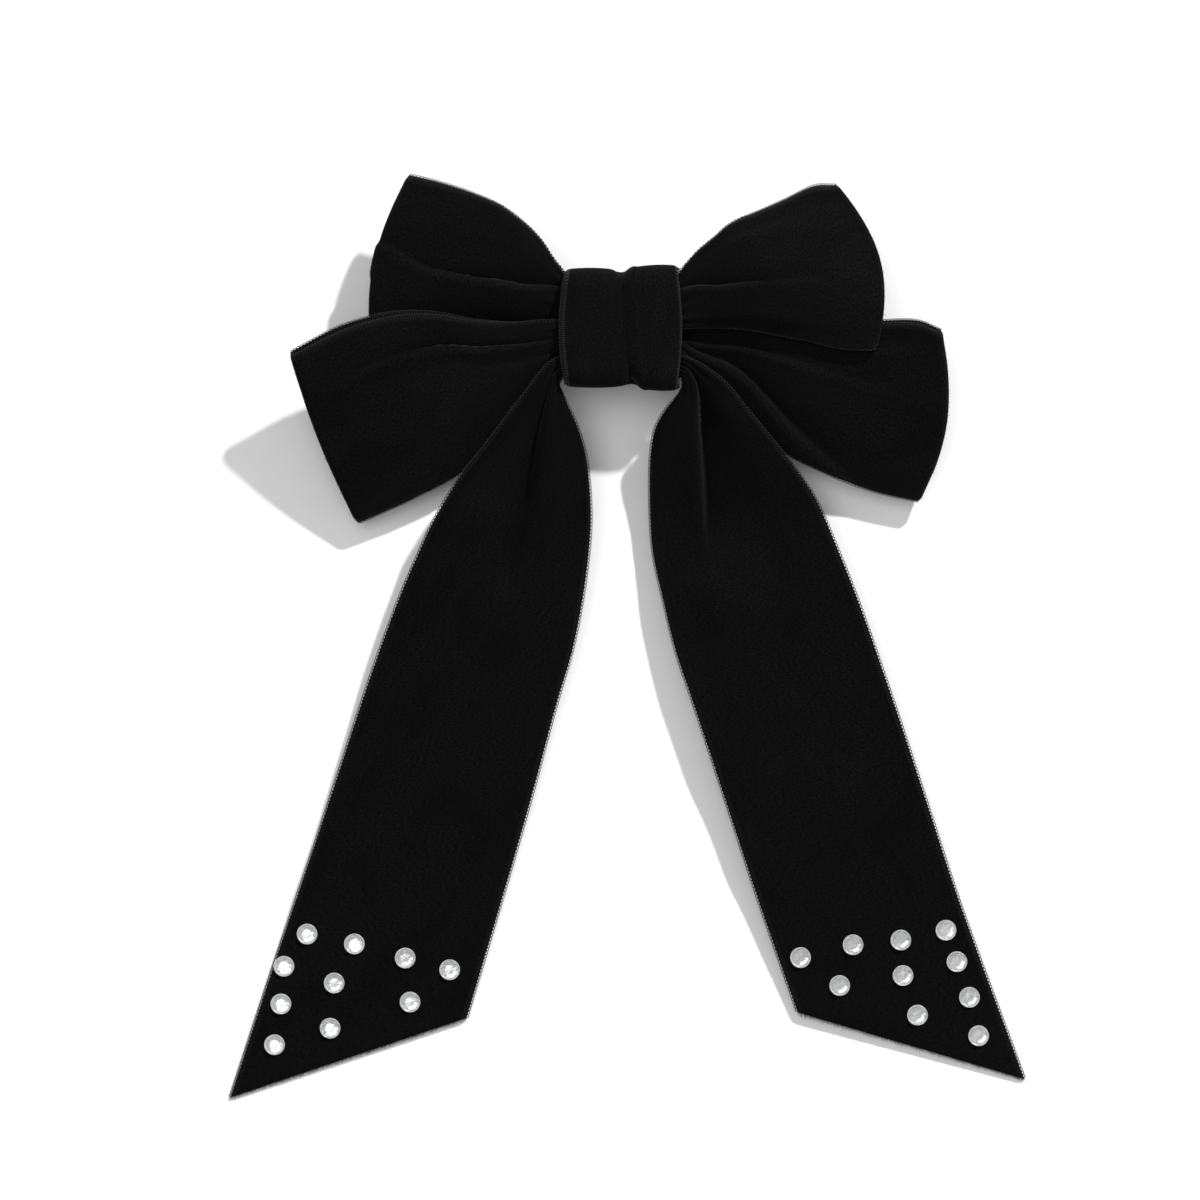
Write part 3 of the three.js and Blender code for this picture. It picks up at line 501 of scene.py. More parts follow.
def cloth(name, rows, v, ring, materials, thick=RIBBON_THICK):
    """A ribbon as a closed solid round a grid of rows. materials are its outside's, inside's and edges'."""
    normals = surface_normals(rows, ring)
    edge_share = np.minimum(v, 1 - v) * RIBBON_WIDTH / SELVEDGE
    half = thick / 2 * (RIM_THIN + (1 - RIM_THIN) * smooth(edge_share))[None, :, None]
    vertices = np.vstack([(rows + normals * half).reshape(-1, 3), (rows - normals * half).reshape(-1, 3)])
    outside, inside, rim, column = ribbon_faces(*rows.shape[:2], ring)
    faces = np.vstack([outside, inside, rim])
    thing = make_object(name, vertices, faces, materials, ribbon_uvs(rows, v, faces, ring))
    woven = (edge_share[column] < 0.99) | (edge_share[column + 1] < 0.99)
    index = np.concatenate([np.where(woven, 2, 0), np.where(woven, 2, 1), np.full(len(rim), 2)])
    thing.data.polygons.foreach_set("material_index", index.astype(np.int32))
    return thing


def sweep(path, radius, sides, taper=None):
    """Vertices and faces of tubes along many paths at once: path is (tubes, points, 3)."""
    path = np.asarray(path, float)
    tubes, points = path.shape[:2]
    tangent = unit(np.gradient(path, axis=1))
    helper = np.where(np.abs(tangent[..., 2:3]) < 0.9, [0.0, 0.0, 1.0], [1.0, 0.0, 0.0])
    side = unit(np.cross(tangent, helper))
    other = np.cross(tangent, side)
    turn = np.linspace(0, 2 * math.pi, sides, endpoint=False)
    size = radius if taper is None else radius * np.asarray(taper)[None, :, None, None]
    cosine, sine = np.cos(turn)[:, None], np.sin(turn)[:, None]
    ring = side[:, :, None] * cosine + other[:, :, None] * sine
    vertices = (path[:, :, None] + ring * size).reshape(-1, 3)
    t, p, s = np.meshgrid(np.arange(tubes), np.arange(points - 1), np.arange(sides), indexing="ij")
    a = (t * points + p) * sides + s
    b = (t * points + p) * sides + (s + 1) % sides
    faces = np.stack([a, b, b + sides, a + sides], axis=-1).reshape(-1, 4).tolist()
    for tube in range(tubes):
        first = tube * points * sides
        faces.append([first + q for q in reversed(range(sides))])
        end = first + (points - 1) * sides
        faces.append([end + q for q in range(sides)])
    return vertices, faces


def resample(line, pitch):
    """Points along a line, one pitch apart."""
    return points_at(line, np.arange(pitch / 2, distances(line)[-1], pitch))


def picots(name, edges):
    """The small thread loops along woven edges. edges holds pairs: a line on the edge and one inside it."""
    paths = []
    for edge, inner in edges:
        here = resample(edge, PICOT_PITCH)
        nearest = np.linalg.norm(here[:, None] - inner[None], axis=-1).argmin(axis=1)
        out = unit(here - inner[nearest])
        along = unit(np.gradient(here, axis=0))
        out = unit(out - (out * along).sum(-1, keepdims=True) * along)
        turn = np.linspace(0, math.pi, 6)
        lift = np.cross(along, out)
        wobble = rng.normal(0, PICOT_SCATTER, (len(here), 1, 1))
        arc = (
            np.cos(turn)[None, :, None] * along[:, None] * PICOT_PITCH * PICOT_SPAN / 2
            + np.sin(turn)[None, :, None] * (out[:, None] + wobble * lift[:, None]) * PICOT_REACH
        )
        paths.append(here[:, None] + arc)
    loops = np.concatenate(paths)
    loops[..., 2] = np.maximum(loops[..., 2], PICOT_WIRE)
    return make_object(name, *sweep(loops, PICOT_WIRE, 4), [THREAD])


def fuzz(name, lines, fibre):
    """Short loose fibres along lines. lines holds pairs: a line and the way its fibres stand out."""
    roots, outward = [], []
    for line, out in lines:
        points = resample(line, fibre["pitch"])
        scatter = rng.normal(0, fibre["scatter"], points.shape) * [1, 1, fibre["lift"]]
        roots.append(points + scatter - fibre["inset"] * out)
        outward.append(np.repeat(out[None], len(points), axis=0))
    roots, outward = np.concatenate(roots), np.concatenate(outward)
    count = len(roots)
    aim = unit(outward + rng.normal(0, fibre["spread"], (count, 3)))
    bend = rng.normal(0, FIBRE_BEND, (count, 3))
    size = fibre["length"] * rng.uniform(0.35, 1.0, (count, 1))
    share = np.array([0, 0.5, 1.0])[None, :, None]
    path = roots[:, None] + size[:, None] * (share * aim[:, None] + share**2 * bend[:, None] * 0.5)
    path[..., 2] = np.maximum(path[..., 2], FIBRE_WIRE)
    return make_object(name, *sweep(path, FIBRE_WIRE, 3, taper=[1, 0.8, 0.25]), [THREAD])


# ---------------------------------------------------------------- materials
NOISE = "ShaderNodeTexNoise"
WAVE = "ShaderNodeTexWave"


def grey(value):
    """A neutral colour."""
    return value, value, value


class Look:
    """A new material, and what its shader is given."""

    def __init__(self, name):
        self.material = bpy.data.materials.new(name)
        self.material.use_nodes = True
        self.nodes = self.material.node_tree.nodes
        self.link = self.material.node_tree.links.new
        self.shader = next(n for n in self.nodes if n.type == "BSDF_PRINCIPLED")

    def node(self, kind, **values):
        """A new node with these values on its sockets, or as settings where it has no such socket."""
        node = self.nodes.new(kind)
        for key, value in values.items():
            if key in node.inputs:
                node.inputs[key].default_value = value
            else:
                setattr(node, key, value)
        return node

    def space(self, *scale, source="UV"):
        """Scaled coordinates: UV counts in ribbon widths, and Object in metres."""
        mapping = self.node("ShaderNodeMapping", Scale=scale)
        self.link(self.node("ShaderNodeTexCoord").outputs[source], mapping.inputs["Vector"])
        return mapping.outputs["Vector"]

    def texture(self, kind, space, Scale=1.0, **values):
        """The value of a noise or a wave in a space."""
        node = self.node(kind, Scale=Scale, **values)
        self.link(space, node.inputs["Vector"])
        return node.outputs["Fac"]

    def ramp(self, source, low, high, dark, light):
        """A value that runs from dark to light as the source runs from low to high."""
        node = self.node("ShaderNodeMapRange")
        for socket, value in zip(("From Min", "From Max", "To Min", "To Max"), (low, high, dark, light)):
            node.inputs[socket].default_value = value
        self.link(source, node.inputs["Value"])
        return node.outputs["Result"]

    def set(self, socket, value):
        """Sets a constant on the shader's own socket."""
        self.shader.inputs[socket].default_value = value

    def feed(self, socket, source):
        """Links a value to a socket of the shader."""
        self.link(source, self.shader.inputs[socket])

    def colour(self, factor, dark, light):
        """Runs the base colour from dark to light by the factor."""
        mix = self.nodes.new("ShaderNodeMix")
        mix.data_type = "RGBA"
        mix.inputs["A"].default_value = (*dark, 1)
        mix.inputs["B"].default_value = (*light, 1)
        self.link(factor, mix.inputs["Factor"])
        self.feed("Base Color", mix.outputs["Result"])

    def bump(self, height, strength, distance):
        """Fine relief. distance is in metres."""
        bump = self.node("ShaderNodeBump", Strength=strength, Distance=distance)
        self.link(height, bump.inputs["Height"])
        self.feed("Normal", bump.outputs["Normal"])


def velvet_material(name, light):
    """Black cut pile, as light as the value given: a soft grey sheen and a grain of tufts in rows across."""
    look = Look(name)
    grain = look.texture(NOISE, look.space(120, 62, 1), Detail=3.0, Roughness=0.65)
    nap = look.texture(NOISE, look.space(2.2, 3.5, 1), Detail=4.0, Roughness=0.55, Distortion=0.6)
    shade = look.node("ShaderNodeMath", operation="MULTIPLY")
    look.link(look.ramp(grain, 0.36, 0.68, 0.1, 1.0), shade.inputs[0])
    look.link(look.ramp(nap, 0.3, 0.7, 0.55, 1.0), shade.inputs[1])
    look.colour(shade.outputs["Value"], grey(0.0003), grey(light))
    look.set("Roughness", 0.92)
    look.set("Specular IOR Level", 0.04)
    look.set("Sheen Weight", 0.05)
    look.set("Sheen Roughness", 0.42)
    look.set("Sheen Tint", (*grey(0.62), 1))
    look.bump(grain, 0.55, 0.00016)
    return look.material


def satin_material():
    """The ribbon's flat woven back."""
    look = Look("black_satin_back")
    threads = look.space(140, 140, 1)
    weave = look.texture(WAVE, threads, Distortion=1.2, Detail=1.5)
    speckle = look.texture(NOISE, threads, Detail=2.0)
    look.colour(speckle, (0.006, 0.006, 0.0065), (0.016, 0.016, 0.017))
    look.feed("Roughness", look.ramp(speckle, 0.2, 0.8, 0.42, 0.62))
    look.bump(weave, 0.4, 0.0001)
    return look.material


def selvedge_material(name, light):
    """The woven edge: tight ribs of shinier thread, as light as the value given."""
    look = Look(name)
    ribs = look.space(RIBBON_WIDTH / PICOT_PITCH, 30, 1)
    wave = look.texture(WAVE, ribs, Scale=0.5, Distortion=0.4, Detail=1.0, bands_direction="X")
    look.colour(wave, grey(0.12 * light), grey(light))
    look.set("Roughness", 0.6)
    look.set("Specular IOR Level", 7 * light)
    look.set("Sheen Weight", 3.5 * light)
    look.bump(wave, 0.8, 0.0002)
    return look.material


def thread_material():
    """Single threads: picots, fibres at the cuts and the binding."""
    look = Look("black_thread")
    speckle = look.texture(NOISE, look.space(900, 900, 900, source="Object"), Detail=2.0)
    look.colour(speckle, grey(0.002), grey(0.02))
    look.set("Roughness", 0.5)
    look.set("Specular IOR Level", 0.14)
    look.set("Sheen Weight", 0.05)
    return look.material


def metal_material(name, colour, roughness, brushed):
    """Plated or rolled steel with fine scratches along the clip, brushed of them to the metre."""
    look = Look(name)
    along = look.space(60, brushed, brushed, source="Object")
    scratches = look.texture(NOISE, along, Detail=5.0, Roughness=0.7)
    clouds = look.texture(NOISE, look.space(180, 180, 180, source="Object"), Detail=3.0)
    look.colour(clouds, tuple(0.82 * c for c in colour), colour)
    look.set("Metallic", 1.0)
    look.feed("Roughness", look.ramp(scratches, 0.25, 0.75, roughness * 0.7, roughness * 1.5))
    look.bump(scratches, 0.12, 0.00005)
    return look.material


def crystal_material():
    """Clear moulded acrylic, a little hazy in places."""
    look = Look("clear_acrylic")
    clouds = look.texture(NOISE, look.space(700, 700, 700, source="Object"), Detail=2.0)
    look.feed("Roughness", look.ramp(clouds, 0.3, 0.7, 0.0, 0.03))
    look.set("Base Color", (0.97, 0.98, 0.99, 1))
    look.set("Transmission Weight", 1.0)
    look.set("IOR", 1.49)
    return look.material


def foil_material(name, dark, light, metallic, roughness):
    """The silver foil behind a stone, a little uneven."""
    look = Look(name)
    clouds = look.texture(NOISE, look.space(900, 900, 900, source="Object"), Detail=3.0)
    look.colour(clouds, grey(dark), grey(light))
    look.set("Metallic", metallic)
    look.feed("Roughness", look.ramp(clouds, 0.3, 0.7, 0.7 * roughness, 1.3 * roughness))
    return look.material


VELVET = velvet_material("black_velvet", 0.0068)
# The tails' velvet is the bow's velvet painted darker: painted shade, since their pile leans away from the
# light.
SHADED_TAIL_VELVET = velvet_material("black_velvet_of_tails_painted_shade", 0.0054)  # its pile leans away from the light
SATIN = satin_material()
WOVEN = selvedge_material("woven_selvedge", 0.0062)
BAND_WOVEN = selvedge_material("woven_selvedge_of_band", 0.013)
THREAD = thread_material()
NICKEL = metal_material("nickel_plate", (0.74, 0.73, 0.71), 0.22, 2600)
SPRING = metal_material("spring_steel", (0.6, 0.61, 0.63), 0.28, 3200)
CRYSTAL = crystal_material()
# The same silver foil in two tones: the rim painted lighter, a painted highlight for the bright ring round a
# stone's girdle, and the floor painted darker, painted shade.
FOIL_RIM_PAINTED_HIGHLIGHT = foil_material("silver_foil_rim_painted_highlight", 0.9, 1.0, 0.3, 0.4)
FOIL_FLOOR_PAINTED_SHADE = foil_material("silver_foil_floor_painted_shade", 0.68, 0.96, 0.55, 0.2)
RIBBON_FINISH = [VELVET, SATIN, WOVEN]
TAIL_FINISH = [SHADED_TAIL_VELVET, SATIN, WOVEN]
BAND_FINISH = [VELVET, SATIN, BAND_WOVEN]


# ---------------------------------------------------------------- ribbons
def ribbon_edges(rows, ring):
    """Both long edges of a ribbon, each with a line a little inside it."""
    closing = np.concatenate([rows, rows[:1]]) if ring else rows
    return [(closing[:, 0], closing[:, 3]), (closing[:, -1], closing[:, -4])]


def fold_line(fold, layer_end):
    """A fold's outermost line, and the way it stands out from the end of the layer before it."""
    line = fold[FOLD_TURNS // 2]
    return line, unit(line[AIM_COLUMN] - layer_end[AIM_COLUMN])


def build_bow_ribbon(node, left_name, right_name, seed, keep):
    """A ribbon that makes one loop to each side of the knot."""
    stretches = bow_rows(left_name, right_name, seed, keep)
    right_front, right_fold, _, _, left_back, left_fold, _, _ = stretches
    rows = np.concatenate(stretches)
    ribbon = cloth(node + "_velvet", rows, columns(RIBBON_WIDTH), True, RIBBON_FINISH)
    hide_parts(node)
    edge = picots(node + "_picots", ribbon_edges(rows, True))
    folds = [fold_line(right_fold, right_front[-1]), fold_line(left_fold, left_back[-1])]
    pile = fuzz(node + "_pile", folds, PILE)
    for thing in (ribbon, edge, pile):
        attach(thing, "bow")


def cut_line(last, before):
    """A cut end's line, and the way it points, from a row before it."""
    return last, unit((last - before).mean(axis=0))


def build_tails():
    """The ribbon whose ends are the two tails. Returns its rows, on which the stones are laid."""
    left = tail_layer(TAILS["left"], 0.4)
    right = tail_layer(TAILS["right"], 2.1)
    across = round(2 * abs(left[0, 0, 0]) / STEP)
    rows = np.concatenate([left[::-1], under_band(left[0], right[0], across, -0.3), right])
    rows[..., 2] = np.maximum(rows[..., 2], RIBBON_THICK / 2 + FLOOR_GAP)
    ribbon = cloth("tail_ribbon_velvet", rows, columns(RIBBON_WIDTH), False, TAIL_FINISH)
    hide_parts("tail_ribbon")
    edge = picots("tail_ribbon_picots", ribbon_edges(rows, False))
    cuts = [cut_line(rows[0], rows[2]), cut_line(rows[-1], rows[-3])]
    fringe = fuzz("tail_ribbon_fringe", cuts, FRINGE)
    for thing in (ribbon, edge, fringe):
        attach(thing, "bow")
    return rows


# ---------------------------------------------------------------- knot band
BAND_HALF_TOP = 10.9  # half its width at the knot's top and bottom
BAND_HALF_MIDDLE = 12.0
BAND_THICK = 0.85
BAND_CORNER = 3.0
BAND_STEP = 0.4
BAND_EASE = 3.0  # the back's plain shape turns into the front's over this height
BAND_PUFF = (0.5, 0.7)  # how far it stands out left and right of its fold
BAND_PUFF_BACK = 0.3  # of that on the back
BAND_SLANT = 0.7  # how far its right side leans up at the top and down at the bottom
BAND_SLANT_REACH = 5.0

# The fold down its front: places across and depths, at even steps from the top to the bottom.
BAND_FOLD_LINE = [-0.2, 0.0, 0.3, 1.0, 2.0]
BAND_FOLD_DEPTH = [1.3, 0.4, 0.25, 0.4, 1.9]
BAND_FOLD_WIDE = 1.1
BAND_FOLD_FAN = 2.5
BAND_WRINKLE = {"beside": 2.4, "wide": 0.6, "high": 0.3}

# Its edges roll in over the last part of the half width: across, up or down, and inwards.
BAND_ROLL_START = 0.93
BAND_ROLL = (0.8, 0.3, 0.45)


def band_path():
    """The middle line of the band round the knot, as y and z, and the box it keeps to: y0, y1, z0, z1."""
    grow = BAND_THICK / 2
    y0, y1 = BAND_LOW[1] + grow, BAND_HIGH[1] - grow
    z0, z1 = BAND_LOW[2] + grow, BAND_HIGH[2] - grow
    near_y, far_y = y0 + BAND_CORNER, y1 - BAND_CORNER
    near_z, far_z = z0 + BAND_CORNER, z1 - BAND_CORNER
    path = []
    corners = [(far_y, far_z, 0), (near_y, far_z, 90), (near_y, near_z, 180), (far_y, near_z, 270)]
    for cy, cz, start in corners:
        for angle in np.radians(np.linspace(start, start + 90, 12)):
            path.append([cy + BAND_CORNER * math.cos(angle), cz + BAND_CORNER * math.sin(angle)])
    path = np.array(path + path[:1])
    y, z = points_at(path, np.arange(0, distances(path)[-1], BAND_STEP)).T
    return y, z, (y0, y1, z0, z1)


def band_rows():
    """The knot band's middle surface: rows run round it in the YZ plane, columns across X."""
    y, z, (y0, y1, z0, z1) = band_path()
    v = columns(2 * BAND_HALF_MIDDLE)
    out = unit(np.stack([np.zeros(len(y)), np.gradient(z), -np.gradient(y)], axis=1))
    y, z = y[:, None], z[:, None]
    front = smooth((z - (z0 + z1) / 2) / BAND_EASE)
    side = smooth((z - z0 - 1) / BAND_EASE)
    half = BAND_HALF_TOP + (BAND_HALF_MIDDLE - BAND_HALF_TOP) * (1 - (y / y1) ** 2) * front
    x = (2 * v - 1)[None] * half

    share = (y1 - y) / (y1 - y0)
    line = ease(BAND_FOLD_LINE, share)
    left_share = np.clip((x + half) / (line + half), 0, 1)
    right_share = np.clip((x - line) / (half - line), 0, 1)
    puff = BAND_PUFF[0] * np.sin(math.pi * left_share) ** 0.6 * (x < line)
    puff += BAND_PUFF[1] * np.sin(math.pi * right_share) ** 0.6 * (x >= line)
    away = (x - line) / BAND_FOLD_WIDE
    notch = 0.75 * np.exp(-away * away) + 0.25 * np.exp(-np.abs(away) / BAND_FOLD_FAN)
    beside = (x - line - BAND_WRINKLE["beside"]) / BAND_WRINKLE["wide"]
    wrinkle = BAND_WRINKLE["high"] * np.exp(-(beside**2)) * front
    lift = puff * (BAND_PUFF_BACK + (1 - BAND_PUFF_BACK) * front) + wrinkle
    lift = lift - ease(BAND_FOLD_DEPTH, share) * notch * side

    lean = smooth((y - y1 + BAND_SLANT_REACH) / BAND_SLANT_REACH)
    lean = lean - smooth((y0 + BAND_SLANT_REACH - y) / BAND_SLANT_REACH)
    slant = BAND_SLANT * np.clip(x / half, 0, 1) * lean
    roll = front * np.maximum(x / half - BAND_ROLL_START, 0) / (1 - BAND_ROLL_START)
    rows = np.zeros((*x.shape, 3))
    rows[..., 0] = x - BAND_ROLL[0] * roll**2
    rows[..., 1] = y + out[:, 1:2] * (lift - BAND_ROLL[1] * roll) + slant * side
    rows[..., 2] = z + out[:, 2:3] * (lift - BAND_ROLL[2] * roll)
    return rows, v


def build_band():
    """The short ribbon round the middle of the bow and the clip's plate."""
    rows, v = band_rows()
    band = cloth("knot_band_velvet", rows, v, True, BAND_FINISH, thick=BAND_THICK)
    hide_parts("knot_band")
    edge = picots("knot_band_picots", ribbon_edges(rows, True))
    for thing in (band, edge):
        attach(thing, "bow")


BINDING_WIRE = 0.13
BINDING_TURNS = 9
BINDING_TURN_STEPS = 48
BINDING_SQUARENESS = 4.4  # the exponent of each turn's outline, 2 for an ellipse
BINDING_INSET = 0.35  # from its node's front and back
BINDING_TOP_INSET = 0.65


def build_binding():
    """Turns of sewing thread round the gathers, laid side by side."""
    low, high = box_mm("binding_thread")
    low, high = low + [0, BINDING_INSET, 0], high - [0, BINDING_INSET, BINDING_TOP_INSET]
    share = np.linspace(0, 1, BINDING_TURNS * BINDING_TURN_STEPS)
    angle = share * BINDING_TURNS * 2 * math.pi
    middle, half = (low + high) / 2, (high - low) / 2 - BINDING_WIRE
    power = 2 / BINDING_SQUARENESS
    y = middle[1] + half[1] * np.sign(np.cos(angle)) * np.abs(np.cos(angle)) ** power
    z = middle[2] + half[2] * np.sign(np.sin(angle)) * np.abs(np.sin(angle)) ** power
    x = middle[0] + half[0] * (2 * share - 1)
    turns = sweep(np.stack([x, y, z], axis=1)[None], BINDING_WIRE, 6)
    thread = make_object("binding_thread_turns", *turns, [THREAD])
    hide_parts("binding_thread")
    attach(thread, "bow")


# ---------------------------------------------------------------- stones
STONE_SIDES = 8
ROUND_SIDES = 4 * STONE_SIDES  # of the girdle and the foil
STONE_RISE = 1.1
STONE_PART = 0.95  # the stone's radius, as a part of its foil's
STONE_GIRDLE = 0.2  # the girdle's height, as a part of the rise
STONE_MAIN = (0.76, 0.66)  # where its main facets end: the parts of its radius and of its rise
STONE_TABLE = 0.54  # the table's radius, as a part of the stone's
STONE_GLUE = 0.05
STONE_REST = 0.02  # the foil rests this far above the ribbon
FOIL_DEPTH = 0.18
FOIL_RIPPLE = 0.03
FOIL_FLOOR_REACH = 0.75

# The foil's outline, from under its base to the middle of its floor: parts of its radius, and heights.
FOIL_OUTLINE = [
    (0.97, -FOIL_DEPTH), (1.0, -0.1), (1.0, 0.22), (0.985, 0.27), (0.965, 0.22),
    (0.96, 0.02), (0.72, -0.03), (0.4, 0.0), (0.1, 0.02),
]


def on_circle(radius, angle, height):
    """A point at this distance and angle from the axis."""
    return [radius * math.cos(angle), radius * math.sin(angle), height]


def turned(rings, sides, spin=0.0):
    """Vertices and faces of a solid turned from (radius, height) rings, low to high, with flat ends."""
    vertices, faces = [], []
    for radius, height in rings:
        for s in range(sides):
            vertices.append(on_circle(radius, 2 * math.pi * (s / sides + spin), height))
    for k in range(len(rings) - 1):
        for s in range(sides):
            a, b = k * sides + s, k * sides + (s + 1) % sides
            faces.append([a, b, b + sides, a + sides])
    faces.append([s for s in reversed(range(sides))])
    faces.append([(len(rings) - 1) * sides + s for s in range(sides)])
    return np.array(vertices), faces


def cut_stone(radius, rise, spin):
    """A flat-backed stone: a round girdle, a ring of main facets, a ring of star facets and a flat table."""
    rings = [(0.98 * radius, 0), (radius, 0.08), (radius, STONE_GIRDLE * rise)]
    vertices, faces = turned(rings, ROUND_SIDES, spin)
    vertices, faces = list(vertices), faces[:-1]
    girdle = (len(rings) - 1) * ROUND_SIDES
    angles = [2 * math.pi * (s / STONE_SIDES + spin) for s in range(STONE_SIDES)]
    mains, tips = [], []
    for angle in angles:
        mains.append(len(vertices))
        middle = angle + math.pi / STONE_SIDES
        vertices.append(on_circle(STONE_MAIN[0] * radius, middle, STONE_MAIN[1] * rise))
    for angle in angles:
        tips.append(len(vertices))
        vertices.append(on_circle(STONE_TABLE * radius, angle, rise))
    for s in range(STONE_SIDES):
        after = (s + 1) % STONE_SIDES
        rim = [girdle + (4 * s + k) % ROUND_SIDES for k in range(5)]
        for k in range(4):
            faces.append([rim[k], rim[k + 1], mains[s]])
        faces.append([mains[s], rim[4], mains[after]])
        faces.append([mains[s], mains[after], tips[after]])
        faces.append([tips[s], mains[s], tips[after]])
    faces.append(tips)
    return np.array(vertices), faces


def stone_seat(middle, radius, cloth_points):
    """Where a stone's foil stands on the ribbon under it, and the turn that lays it along the ribbon."""
    under = cloth_points[np.linalg.norm(cloth_points[:, :2] - middle[:2], axis=1) < radius]
    level = under.mean(axis=0)
    _, _, axes = np.linalg.svd(under - level)
    up = axes[2] * np.sign(axes[2][2])
    top = ((under - level) @ up).max() + RIBBON_THICK / 2 + FOIL_DEPTH
    base = level + (middle - level) * [1, 1, 0] + up * (top + STONE_REST)
    return base, np.array(Vector((0, 0, 1)).rotation_difference(Vector(up)).to_matrix())


def build_stone(node, spin, cloth_rows):
    """A clear cut stone in a cupped silver foil, glued where its node stands on the ribbon."""
    low, high = box_mm(node)
    radius = (high[0] - low[0]) / 2
    base, turn = stone_seat((low + high) / 2, radius, cloth_rows.reshape(-1, 3))
    shell, shell_faces = cut_stone(STONE_PART * radius, STONE_RISE, spin)
    shell[:, 2] += STONE_GLUE
    gem = make_object(node + "_cut", shell @ turn.T + base, shell_faces, [CRYSTAL], smooth_faces=False)
    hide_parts(node)

    foil, foil_faces = turned([(part * radius, height) for part, height in FOIL_OUTLINE], ROUND_SIDES, spin)
    from_axis = np.linalg.norm(foil[:, :2], axis=1)
    floor = (from_axis < FOIL_FLOOR_REACH * radius) & (foil[:, 2] > -0.1)
    lobes = np.cos(STONE_SIDES * (np.arctan2(foil[:, 1], foil[:, 0]) - 2 * math.pi * spin))
    foil[:, 2] += np.where(floor, FOIL_RIPPLE * lobes * from_axis / radius, 0)
    # The rim faces take the lighter foil, a painted highlight, and the floor faces the darker one, painted
    # shade.
    back = make_object(node + "_foil", foil @ turn.T + base, foil_faces, [FOIL_RIM_PAINTED_HIGHLIGHT, FOIL_FLOOR_PAINTED_SHADE])
    for face in back.data.polygons:
        face.material_index = int(floor[list(face.vertices)].all())
    for thing in (gem, back):
        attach(thing, "bow")


# ---------------------------------------------------------------- clip
PLATED_PIECES = [
    "barrette_plate", "clasp_arm", "catch_bracket", "catch_rivet", "release_tab_front", "release_tab_back",
]
SPRING_PIECES = ["hinge_pin", "tension_bar", "tab_pin_front", "tab_pin_back"]
CLIP_EDGE = 0.12
CLIP_SHARP_ANGLE = math.radians(40)


def finish_clip():
    """The clip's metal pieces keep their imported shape, with rounded edges and their own finish."""
    for node in PLATED_PIECES + SPRING_PIECES:
        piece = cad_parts[node]
        spring = node in SPRING_PIECES
        piece.data.materials.clear()
        piece.data.materials.append(SPRING if spring else NICKEL)
        bevel = piece.modifiers.new("rounded_edges", "BEVEL")
        bevel.width = CLIP_EDGE * MM
        bevel.segments = 2
        bevel.limit_method = "ANGLE"
        bevel.angle_limit = CLIP_SHARP_ANGLE
        bevel.harden_normals = False


# ---------------------------------------------------------------- stage
# In metres, apart from the sensor and the floor, which are in millimetres.
VIEW_CENTRE = Vector((-4.3, -53.2, 0)) * MM
VIEW_WIDTH = 235.6 * MM
CAMERA_HEIGHT = 3.0
SENSOR_WIDTH = 36
KEY_ELEVATION = math.radians(38)
KEY_AZIMUTH = math.atan2(0.85, 0.53)
KEY_LIGHT = {"distance": 2.0, "size": 0.09, "power": 44}
TOP_DIRECTION = (-0.25, 0.2, 1)
TOP_LIGHT = {"distance": 1.6, "size": 1.2, "power": 8.5}
SKY_STRENGTH = 0.42
FLOOR_REACH = 1500.0
FLOOR_LIP = 0.2  # the floor reaches this far under the clasp arm, and is open inside that to let light in


def add_camera():
    """The view from straight above, as in the photo."""
    data = bpy.data.cameras.new("camera")
    data.sensor_width = SENSOR_WIDTH
    data.lens = SENSOR_WIDTH * CAMERA_HEIGHT / VIEW_WIDTH
    camera = bpy.data.objects.new("camera", data)
    camera.location = VIEW_CENTRE + Vector((0, 0, CAMERA_HEIGHT))
    bpy.context.scene.collection.objects.link(camera)
    bpy.context.scene.camera = camera


def add_light(name, direction, distance, size, power):
    """A round lamp that shines on the middle of the view."""
    data = bpy.data.lights.new(name, "AREA")
    data.shape = "DISK"
    data.size = size
    data.energy = power
    lamp = bpy.data.objects.new(name, data)
    lamp.location = VIEW_CENTRE + Vector(direction).normalized() * distance
    lamp.rotation_euler = Vector(direction).to_track_quat("Z", "Y").to_euler()
    bpy.context.scene.collection.objects.link(lamp)


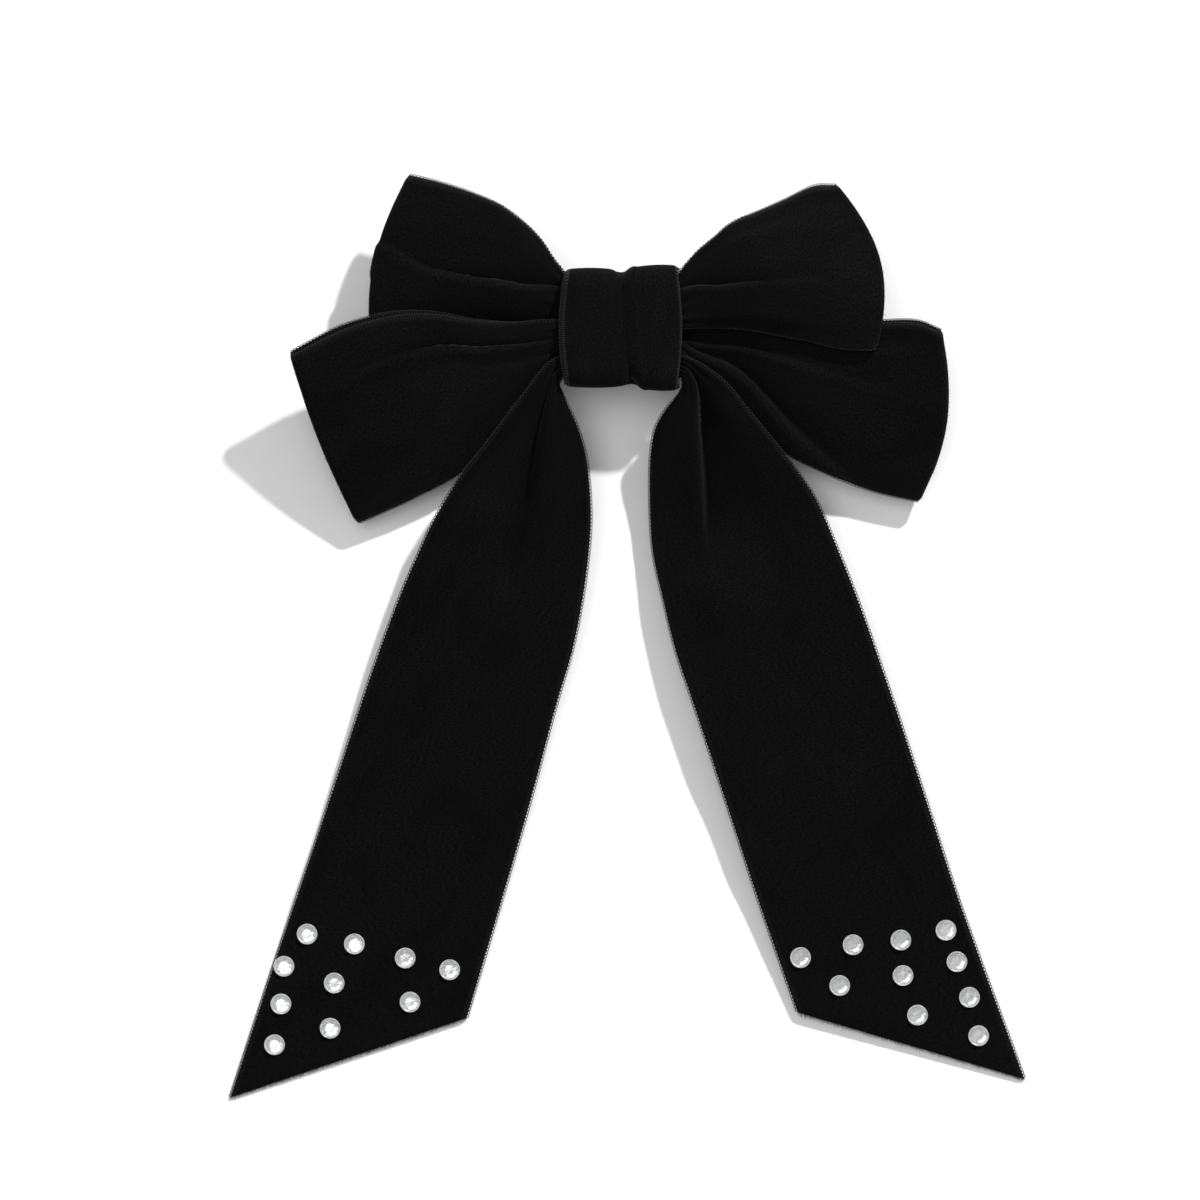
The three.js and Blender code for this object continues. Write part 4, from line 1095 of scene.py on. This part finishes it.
def add_lights():
    """A small lamp at the upper right, a broad one overhead and an even white sky."""
    level = math.cos(KEY_ELEVATION)
    key_direction = (
        level * math.cos(KEY_AZIMUTH), level * math.sin(KEY_AZIMUTH), math.sin(KEY_ELEVATION)
    )
    add_light("key", key_direction, **KEY_LIGHT)
    add_light("fill_top", TOP_DIRECTION, **TOP_LIGHT)
    world = bpy.data.worlds.new("studio")
    bpy.context.scene.world = world
    world.use_nodes = True
    sky = next(n for n in world.node_tree.nodes if n.type == "BACKGROUND")
    sky.inputs["Color"].default_value = (1, 1, 1, 1)
    sky.inputs["Strength"].default_value = SKY_STRENGTH


def floor_material():
    """White paper seen from above, and clear from below."""
    look = Look("paper_floor")
    grain = look.texture(NOISE, look.space(220, 220, 220, source="Object"), Detail=4.0)
    look.colour(grain, grey(0.86), grey(0.9))
    look.set("Roughness", 0.9)
    look.set("Specular IOR Level", 0.1)
    one_sided = look.node("ShaderNodeMixShader")
    look.link(look.node("ShaderNodeNewGeometry").outputs["Backfacing"], one_sided.inputs["Fac"])
    look.link(look.shader.outputs["BSDF"], one_sided.inputs[1])
    look.link(look.node("ShaderNodeBsdfTransparent").outputs["BSDF"], one_sided.inputs[2])
    surface = next(n for n in look.nodes if n.type == "OUTPUT_MATERIAL").inputs["Surface"]
    look.link(one_sided.outputs["Shader"], surface)
    return look.material


def rectangle(x0, y0, x1, y1):
    """Its corners at z = 0, counterclockwise."""
    return [[x0, y0, 0], [x1, y0, 0], [x1, y1, 0], [x0, y1, 0]]


def add_floor():
    """A wide floor at z = 0, open where the clasp arm stands."""
    arm_low, arm_high = box_mm("clasp_arm")
    (x0, y0, _), (x1, y1, _) = arm_low + FLOOR_LIP, arm_high - FLOOR_LIP
    corners = rectangle(-FLOOR_REACH, -FLOOR_REACH, FLOOR_REACH, FLOOR_REACH) + rectangle(x0, y0, x1, y1)
    sides = [[k, (k + 1) % 4, 4 + (k + 1) % 4, 4 + k] for k in range(4)]
    floor = make_object("floor", corners, sides, [floor_material()])


def build_stage():
    """The camera, the lights and the floor the bow lies on."""
    bpy.context.scene.view_settings.view_transform = "Standard"
    add_camera()
    add_lights()
    add_floor()


# ---------------------------------------------------------------- build
build_bow_ribbon("upper_bow_ribbon", "upper_left", "upper_right", 1, "above")
build_bow_ribbon("lower_bow_ribbon", "lower_left", "lower_right", 5, "below")
tail_rows = build_tails()
build_band()
build_binding()
for side in ("left", "right"):
    for number in range(1, 11):
        build_stone(f"rhinestone_{side}_{number:02d}", rng.uniform(0, 1), tail_rows)
finish_clip()
build_stage()
